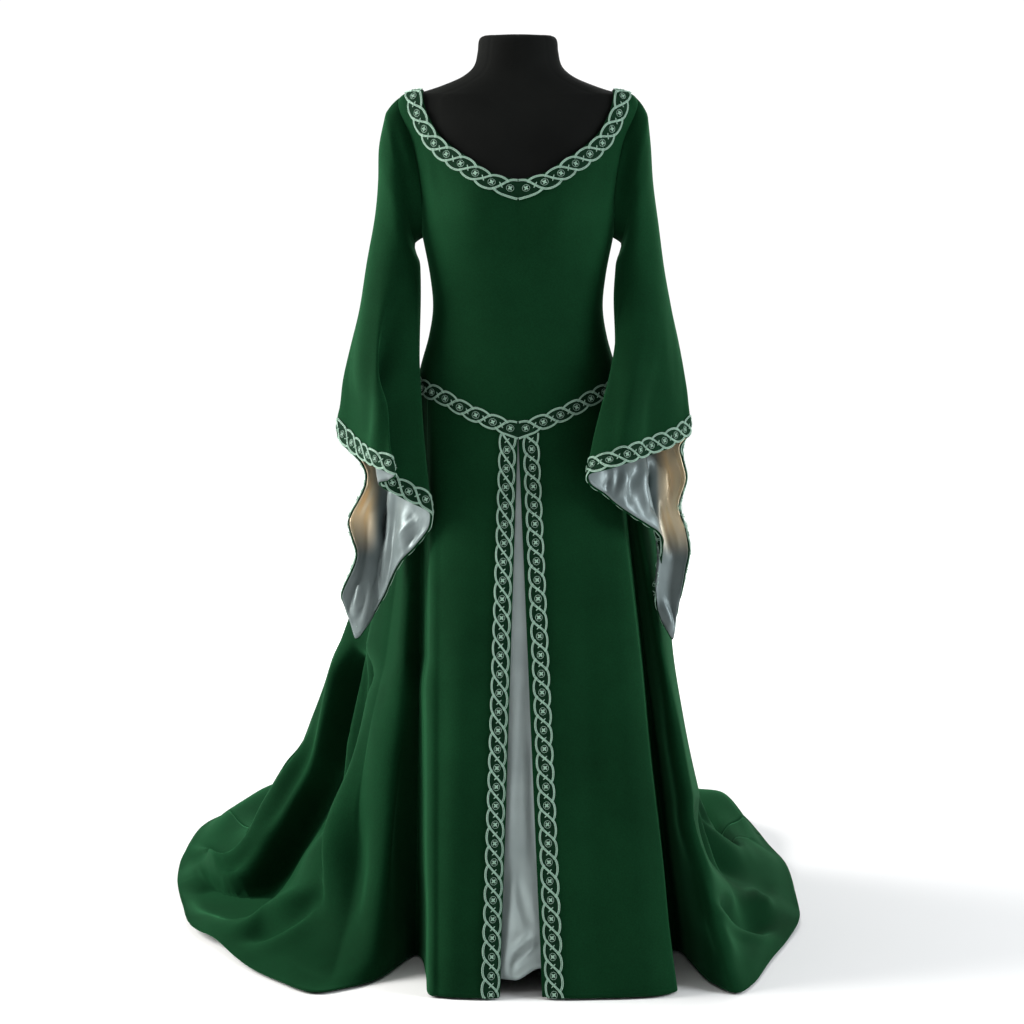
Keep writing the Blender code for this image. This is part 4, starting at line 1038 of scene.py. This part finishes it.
SATIN_FOLDS = [
    ([(519, 640), (517, 720), (512, 800), (507, 880)], 7.5, -2.4, 0.3, 0.4),
    ([(530, 715), (531, 800), (533, 880)], 6, 2.6, 0.3, 0.4),
    ([(514, 860), (511, 905), (504, 970)], 6, -3, 0.3, 0),
    ([(508, 972), (516, 962), (526, 953), (538, 943)], 3.8, -5, 0.3, 0.2),
    ([(510, 956), (520, 947), (534, 934)], 5, 4, 0.4, 0.3),
    ([(521, 880), (526, 915), (530, 935)], 6, 2.4, 0.4, 0.4),
]


def satin_panel():
    across, share = np.broadcast_arrays(np.linspace(0, 1, SATIN_ACROSS + 1)[None, :],
                                        np.linspace(0, 1, SATIN_DOWN + 1)[:, None])
    angle = SATIN_LEFT + (SATIN_RIGHT - SATIN_LEFT) * across
    top = over_torso(torso_point(angle, girdle_height(angle) - SATIN_TUCKED), -SATIN_BEHIND, rounds=1)
    hem = np.stack([SATIN_HEM_LEFT + (SATIN_HEM_RIGHT - SATIN_HEM_LEFT) * across,
                    np.full(across.shape, SATIN_HEM_Y),
                    SATIN_HEM_HEIGHT
                    + SATIN_HEM_RISE * smooth_step((across - SATIN_STEPS[0]) / SATIN_STEPS[1])], -1)
    places = top + (hem - top) * share[..., None]
    sway = FLUTE_SWAY * np.sin(FLUTE_TURNS * share) * share
    flute = SATIN_FLUTES.at("out", np.clip(across + sway, 0, 1))
    places[..., 1] -= flute * np.clip(share * FLUTE_RATE, 0, 1) ** FLUTE_POWER - SATIN_SET_BACK
    places = press_folds(places, SATIN_FOLDS)
    piece = cloth_sheet("gown_underskirt", places, silver, SATIN_THICKNESS)
    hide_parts("underskirt_front")


satin_panel()


# Knot-pattern braid
# A dark green ribbon with a scalloped edge, embroidered in pale green thread: a running interlace of
# double cords, a small flower in each eye and a leaf cross on each crossing. It is sewn on the edges.

BRAID_WIDTH = 0.027
GIRDLE_WIDTH = 0.025
SLIT_INSET = {"left": 0.07, "right": 0.20}      # of its width, from the panel's edge to the band
SLIT_TOP = 0.014            # where the slit's bands start, as a share of the panel's length
LONGEST_BRAID = 0.055       # down the sleeve, where the hem is steepest
LONGEST_SHIFT = 0.024       # along the hem, from its lower edge to its upper one
BRAID_REPEAT = 0.0278
RIBBON = 0.0008             # thickness of the ribbon
RIBBON_LIFT = 0.0012        # its outer side over the cloth
CORD = 0.00070              # half the thickness of a cord
CORD_APART = 0.00086        # of each of the two from the middle of the pair
# One link, from its start under the last link to its end under the next: along the band in repeats,
# across it in half widths, height over the ribbon in cord thicknesses
LINK = [
    (-0.06, -0.50, -0.6), (0.02, -0.68, 0.0), (0.22, -0.86, 0.2), (0.50, -0.92, 0.2), (0.78, -0.84, 0.3),
    (0.98, -0.64, 1.0), (1.14, -0.34, 0.6), (1.30, 0.00, 0.3), (1.46, 0.34, 0.6), (1.62, 0.64, 1.0),
    (1.82, 0.84, 0.3), (2.10, 0.92, 0.2), (2.38, 0.86, 0.2), (2.58, 0.68, 0.0), (2.66, 0.50, -0.6),
]
POINT_REACH = 0.14          # how much wider a band is at the point in the middle of the front
POINT_SPREAD = 0.13         # share of the half neckline over which it widens
MIRROR_PHASE = 0.37         # of a repeat, from the point to where the links would start
STRAIGHT_TO_POINT = 0.72    # of a repeat beside the point, where the outer cord runs straight
POINT_LIES = 0.90           # how far out it lies there, in half widths
FLOWER_AT, LEAF_AT = 0.80, 0.30
FLOWER_PETAL, LEAF = (0.0020, 0.0014, 0.0009), (0.0027, 0.0009, 0.0007)      # half length, width, thickness
FLOWER_HEART = 0.0012
FLOWER_RING = (0.0056, 0.0050)
FLOWER_LIFT, LEAF_LIFT, HEART_LIFT = 0.0003, 0.0013, 0.0004     # the heart's is over its flower
RING_STOPS, RING_THIN = 16, 0.45
RIBBON_STOPS, LINK_STOPS = 12, 37
RIBBON_ROUND = 0.0006       # how far the ribbon's edges turn down
SCALLOP_DEPTH = 0.20        # in half widths
SCALLOP_SHIFT = 0.60        # of a repeat, from one edge's scallops to the other's
CORD_END = 0.0003           # from the end of a cord to the end of its band
FLOWER_END = 0.0020


class Band:
    """A strip of cloth to sew on: a grid of places across it (rows) and along it (columns)."""

    def __init__(self, places, ring, point=None):
        self.ring, self.pointed = ring, point is not None
        if ring:
            places = np.concatenate([places, places[:, :1]], axis=1)
        self.places = places
        normals = normals_of(places)
        if ring:
            seam = normals[:, 0] + normals[:, -1]
            normals[:, 0] = normals[:, -1] = seam / np.linalg.norm(seam, axis=-1, keepdims=True)
        self.normals = normals
        middle = places[len(places) // 2]
        self.reach = np.concatenate([[0], np.cumsum(np.linalg.norm(np.diff(middle, axis=0), axis=1))])
        self.length = self.reach[-1]
        # A band with a point is worked from the point outwards, alike on both sides
        self.runs = [(0.0, 1, self.length, 0.0)] if point is None else [
            (self.reach[point], way, self.length / 2, MIRROR_PHASE) for way in (-1, 1)]
        self.repeats = max(round(self.runs[0][2] / BRAID_REPEAT), 1)
        self.repeat = self.runs[0][2] / self.repeats

    def at(self, along, across, out):
        """Places at a length along the band, a share across it (-1 to 1) and a height over it."""
        along = np.mod(along, self.length) if self.ring else np.clip(along, 0, self.length)
        column = np.interp(along, self.reach, np.arange(len(self.reach)))
        row = (np.clip(across, -1, 1) + 1) / 2 * (len(self.places) - 1)
        c = np.clip(column.astype(int), 0, self.places.shape[1] - 2)
        r = np.clip(row.astype(int), 0, self.places.shape[0] - 2)
        a, b = (column - c)[..., None], (row - r)[..., None]

        def read(grid):
            return ((1 - b) * ((1 - a) * grid[r, c] + a * grid[r, c + 1])
                    + b * ((1 - a) * grid[r + 1, c] + a * grid[r + 1, c + 1]))
        normal = read(self.normals)
        normal = normal / np.linalg.norm(normal, axis=-1, keepdims=True)
        return read(self.places) + normal * np.asarray(out)[..., None], normal


def ribbon_finish():
    made = Finish("ribbon_green", roughness=0.80, specular=0.08, sheen=0.03, sheen_tint=(0.16, 0.72, 0.34))
    made.tone(made.ramp(made.noise(160.0, 3.0),
                        (0.30, (0.0012, 0.0130, 0.0052)), (0.70, (0.0026, 0.0230, 0.0092))))
    made.bump(made.noise(1300.0, 1.0), 0.40, 0.0004)
    return made.material


def thread_finish():
    made = Finish("pale_thread", roughness=0.52, sheen=0.25, sheen_tint=(0.75, 0.95, 0.82))
    made.tone(made.ramp(made.noise(900.0), (0.30, (0.18, 0.32, 0.24)), (0.70, (0.35, 0.53, 0.42))))
    twist = made.node("TexWave", source=made.where, Scale=420.0, Distortion=2.0)
    twist.bands_direction = "DIAGONAL"
    made.bump(twist.outputs["Fac"], 0.35, 0.0003)
    return made.material


ribbon_green = ribbon_finish()
pale_thread = thread_finish()


def scallop(share):
    """How far the ribbon's edge stands out at a share of its scallop."""
    return 1 - SCALLOP_DEPTH + SCALLOP_DEPTH * np.sqrt(np.abs(np.sin(np.pi * share)))


def ribbon_of(name, band, flip):
    along = np.linspace(0, band.length, int(band.length / band.repeat) * RIBBON_STOPS + 1)
    if band.ring:
        along = along[:-1]
    start, _, reach, phase = band.runs[-1]
    worked = np.abs(np.mod(along - start + reach, 2 * reach) - reach) if band.pointed else along
    share = worked / band.repeat + phase
    low, high = (scallop(share), scallop(share - SCALLOP_SHIFT))[::flip]
    if band.pointed:
        high = np.where(worked < STRAIGHT_TO_POINT * band.repeat, 1.0, high)
    across = np.linspace(-1, 1, 9)[:, None]
    across = np.where(across < 0, across * low, across * high)
    lift = RIBBON_LIFT - RIBBON_ROUND * np.abs(across) ** 6
    places, _ = band.at(np.broadcast_to(along, across.shape), across, lift)
    return cloth_sheet(name, places, ribbon_green, RIBBON, ring=band.ring)


def lay_cord(cords, stops, thin=1.0, closed=False):
    spline = cords.splines.new("POLY")
    spline.points.add(len(stops) - 1)
    spline.points.foreach_set("co", np.column_stack([stops, np.ones(len(stops))]).ravel())
    spline.points.foreach_set("radius", np.full(len(stops), thin))
    spline.use_cyclic_u = closed


def lay_links(cords, band, flip):
    """The double cords of the interlace, link by link."""
    table = Sizes(("step", "along", "across", "up"), [(n, *stop) for n, stop in enumerate(LINK)])
    steps = np.linspace(0, len(LINK) - 1, LINK_STOPS)
    line = np.stack([table.at(key, steps) for key in ("along", "across", "up")], -1)
    half = BRAID_WIDTH / 2
    flat = line[:, :2] * (band.repeat, half)
    way = np.gradient(flat, axis=0)
    square = np.stack([-way[:, 1], way[:, 0]], -1) / np.linalg.norm(way, axis=-1, keepdims=True)
    whole = band.ring and not band.pointed
    first = 0 if whole else -1 if band.pointed else -3
    for start, heads, length, phase in band.runs:
        for link in range(first, band.repeats + (0 if whole else 1)):
            for side in (-1, 1):
                reach, lies = (flat + square * CORD_APART * side).T
                reach = reach + (link - phase) * band.repeat
                inside = np.full(len(reach), whole) | (reach > CORD_END) & (reach < length - CORD_END)
                if band.pointed and link == -1:
                    straight = POINT_LIES * half + CORD_APART * side
                    lies = np.where(reach < STRAIGHT_TO_POINT * band.repeat, straight, lies)
                for run in np.split(np.arange(len(reach)), np.flatnonzero(np.diff(inside.astype(int))) + 1):
                    if len(run) > 2 and inside[run[0]]:
                        stops, _ = band.at(start + heads * reach[run], flip * lies[run] / half,
                                           RIBBON_LIFT + CORD * (0.2 + line[run, 2]))
                        lay_cord(cords, stops)


def add_bead(maker, axes, centre):
    place = np.eye(4)
    place[:3, :3], place[:3, 3] = axes, centre
    bmesh.ops.create_icosphere(maker, subdivisions=1, radius=1.0, matrix=Matrix(place))


def add_flowers(maker, cords, band):
    """A flower in each eye of the interlace, in its ring, and a cross of leaves on each crossing."""
    for start, heads, length, phase in band.runs:
        for link in range(band.repeats):
            for at, size, lift in ((FLOWER_AT, FLOWER_PETAL, FLOWER_LIFT), (LEAF_AT, LEAF, LEAF_LIFT)):
                worked = (link + at - phase) * band.repeat
                if not FLOWER_END <= worked <= length - FLOWER_END:
                    continue
                reach = start + heads * worked
                pair = np.array([reach, reach + FLOWER_END])
                (centre, ahead), (normal, _) = band.at(pair, np.zeros(2), RIBBON_LIFT + lift)
                tangent = (ahead - centre) / np.linalg.norm(ahead - centre)
                aside = np.cross(normal, tangent)
                for turn in np.radians((45, 135, 225, 315)):
                    out = tangent * math.cos(turn) + aside * math.sin(turn)
                    petal = np.column_stack([out, np.cross(normal, out), normal]) * size
                    add_bead(maker, petal, centre + out * size[0] * 1.02)
                if at == FLOWER_AT:
                    heart = np.column_stack([tangent, aside, normal]) * FLOWER_HEART
                    add_bead(maker, heart, centre + normal * HEART_LIFT)
                    around = 2 * np.pi * np.arange(RING_STOPS) / RING_STOPS
                    stops = (centre + np.outer(np.cos(around), tangent) * FLOWER_RING[0]
                             + np.outer(np.sin(around), aside) * FLOWER_RING[1])
                    lay_cord(cords, stops, RING_THIN, closed=True)


def sewn_on(name, data):
    """A piece of the embroidery, in the pale thread."""
    data.materials.append(pale_thread)
    piece = placed(name, data)
    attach(piece, "root")
    return piece


def sew_band(name, node, places, ring, point=None, flip=1):
    """The ribbon, the cords of its interlace, and its flowers and leaves, on a band of cloth."""
    band = Band(places, ring, point)
    ribbon = ribbon_of("braid_" + name, band, flip)
    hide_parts(node)
    cords = bpy.data.curves.new("cords_" + name, "CURVE")
    cords.dimensions = "3D"
    cords.bevel_depth = CORD
    cords.bevel_resolution = 0
    cords.use_fill_caps = True
    lay_links(cords, band, flip)
    maker = bmesh.new()
    add_flowers(maker, cords, band)
    mesh = bpy.data.meshes.new("flowers_" + name)
    maker.to_mesh(mesh)
    maker.free()
    mesh.shade_smooth()
    pieces = [sewn_on("interlace_" + name, cords), sewn_on("flowers_" + name, mesh)]


NECK_COLUMNS = 161          # over half the neckline
NECK_POINT_COLUMN = NECK_COLUMNS - 2    # column of the band's grid at the point
SHOULDER_LIFT, SHOULDER_LIFT_OVER = 0.0006, 0.17        # over the shoulder seam
NECK_EDGE = 0.0004          # from the neckline to the band's inner edge
GIRDLE_COLUMNS = 480
GIRDLE_POINT_COLUMN = GIRDLE_COLUMNS // 2
GIRDLE_POINT_OVER = 2.2     # degrees over which the girdle widens to its point
SLIT_ROWS, CUFF_ROWS = 7, 7
STEEPEST_LEAN = 0.09        # least share squared of a link's height that is square to the hem


def neck_band():
    """Beside the neckline all round, out over the bodice at widths square to the edge."""
    halves = []
    share = np.linspace(0, 1, NECK_COLUMNS) ** 1.2      # closer at the shoulder
    for back in (False, True):
        step = 0.01
        edge = neck_at(np.minimum(share + step, 1), back) - neck_at(np.maximum(share - step, 0), back)
        shoulder = neck_at(step, False) - neck_at(step, True)
        edge[0] = shoulder if not back else -shoulder
        edge[-1] = (-1, 0, 0)
        here = neck_at(share, back)
        edge /= np.linalg.norm(edge, axis=-1, keepdims=True)
        steep = climb(here)
        square = np.cross(edge, steep / np.linalg.norm(steep, axis=-1, keepdims=True))
        square = square if back else -square
        rows = []
        point = 1 + (0.0 if back else POINT_REACH) * np.clip(1 - (1 - share) / POINT_SPREAD, 0, 1)
        for width in np.linspace(NECK_EDGE, BRAID_WIDTH, 7):
            out = EASE + CLOTH + SHOULDER_LIFT * np.exp(-(share / SHOULDER_LIFT_OVER) ** 2)
            rows.append(over_torso(here + square * (width * point)[:, None], out))
        halves.append(np.array(rows))
    front, behind = halves
    mirror = np.array([-1, 1, 1])
    return np.concatenate([(front * mirror)[:, 1:-1], front[:, ::-1], behind[:, 1:],
                           (behind * mirror)[:, ::-1][:, 1:]], axis=1)


def girdle_band():
    """Round the hips: the upper half lies on the bodice, the lower half on the skirt."""
    angle = np.linspace(-180, 180, GIRDLE_COLUMNS, endpoint=False)
    height = girdle_height(angle)
    half = GIRDLE_WIDTH / 2
    rows = []
    for up in (1.0, 0.66, 0.33, 0.0):
        rows.append(over_torso(torso_point(angle, height + half * up), EASE + CLOTH, rounds=1))
    step = 0.01             # share of a column whose length is measured
    length = np.linalg.norm(skirt_place(angle, step) - skirt_place(angle, 0.0), axis=-1)
    point = 1 + POINT_REACH * np.exp(-np.abs(angle) / GIRDLE_POINT_OVER)
    for down in (0.33, 0.66, 1.0):
        share = step * half * down * point / length
        lower, beyond = skirt_place(angle, share), skirt_place(angle, share + 0.004)
        side = np.roll(lower, -1, axis=0) - np.roll(lower, 1, axis=0)
        normal = np.cross(beyond - lower, side)
        rows.append(lower + normal / np.linalg.norm(normal, axis=-1, keepdims=True) * CLOTH)
    return np.array(rows)


def slit_band(side):
    """Down the edge of a front panel, from the girdle to the hem."""
    sign = -1 if side == "left" else 1
    share = SLIT_TOP + (1 - SLIT_TOP) * np.linspace(0, 1, 201)
    edge = skirt_place(0.001 * sign + 0 * share, share)
    reach = np.full(share.shape, 6.0)       # degrees, a first guess at the band's width
    for _ in range(4):
        reach *= BRAID_WIDTH / np.linalg.norm(skirt_place(sign * reach, share) - edge, axis=-1)
    rows = [skirt_place(sign * reach * (SLIT_INSET[side] + k / (SLIT_ROWS - 1)), share)
            for k in range(SLIT_ROWS)]
    rows = np.array(rows if side == "left" else rows[::-1])
    return rows + normals_of(rows) * CLOTH


def cuff_band(places):
    """Round a sleeve's hem, with its links square to the hem."""
    columns = places.shape[1]
    hem = (np.roll(places[-1], -1, axis=0) - np.roll(places[-1], 1, axis=0)) / 2
    rise = places[-5] - places[-1]
    spacing = np.linalg.norm(hem, axis=-1)
    lean = (hem * rise).sum(-1) / (spacing * np.linalg.norm(rise, axis=-1))
    wide = np.minimum(BRAID_WIDTH / np.sqrt(np.maximum(1 - lean**2, STEEPEST_LEAN)), LONGEST_BRAID)
    aside = np.clip(-wide * lean, -LONGEST_SHIFT, LONGEST_SHIFT)
    aside, wide, spacing = (np.mean([np.roll(value, k) for k in range(-4, 5)], axis=0)
                            for value in (aside, wide, spacing))
    steps = np.linalg.norm(np.diff(places, axis=0), axis=-1)
    climbed = np.concatenate([np.zeros((1, columns)), np.cumsum(steps[::-1], axis=0)])
    rows = []
    for k in range(CUFF_ROWS):
        share = 1 - k / (CUFF_ROWS - 1)
        column = np.arange(columns) + aside * share / spacing
        first = np.floor(column).astype(int)
        part = (column - first)[:, None]
        both = []
        for there in (first % columns, (first + 1) % columns):
            row = SLEEVE_DOWN - np.array([np.interp(far, climbed[:, c], np.arange(SLEEVE_DOWN + 1))
                                          for far, c in zip(wide * share, there)])
            low = np.clip(row.astype(int), 0, SLEEVE_DOWN - 1)
            down = (row - low)[:, None]
            both.append(places[low, there] * (1 - down) + places[low + 1, there] * down)
        rows.append(both[0] * (1 - part) + both[1] * part)
    return np.array(rows)


sew_band("neckline", "neckline_trim", neck_band(), True, point=NECK_POINT_COLUMN)
sew_band("girdle", "girdle_trim", girdle_band(), True, point=GIRDLE_POINT_COLUMN)
sew_band("slit_left", "slit_trim_left", slit_band("left"), False, flip=-1)
sew_band("slit_right", "slit_trim_right", slit_band("right"), False,
         flip=-1)
sew_band("cuff_left", "cuff_trim_left", cuff_band(left_places), True)
sew_band("cuff_right", "cuff_trim_right", cuff_band(right_places), True)
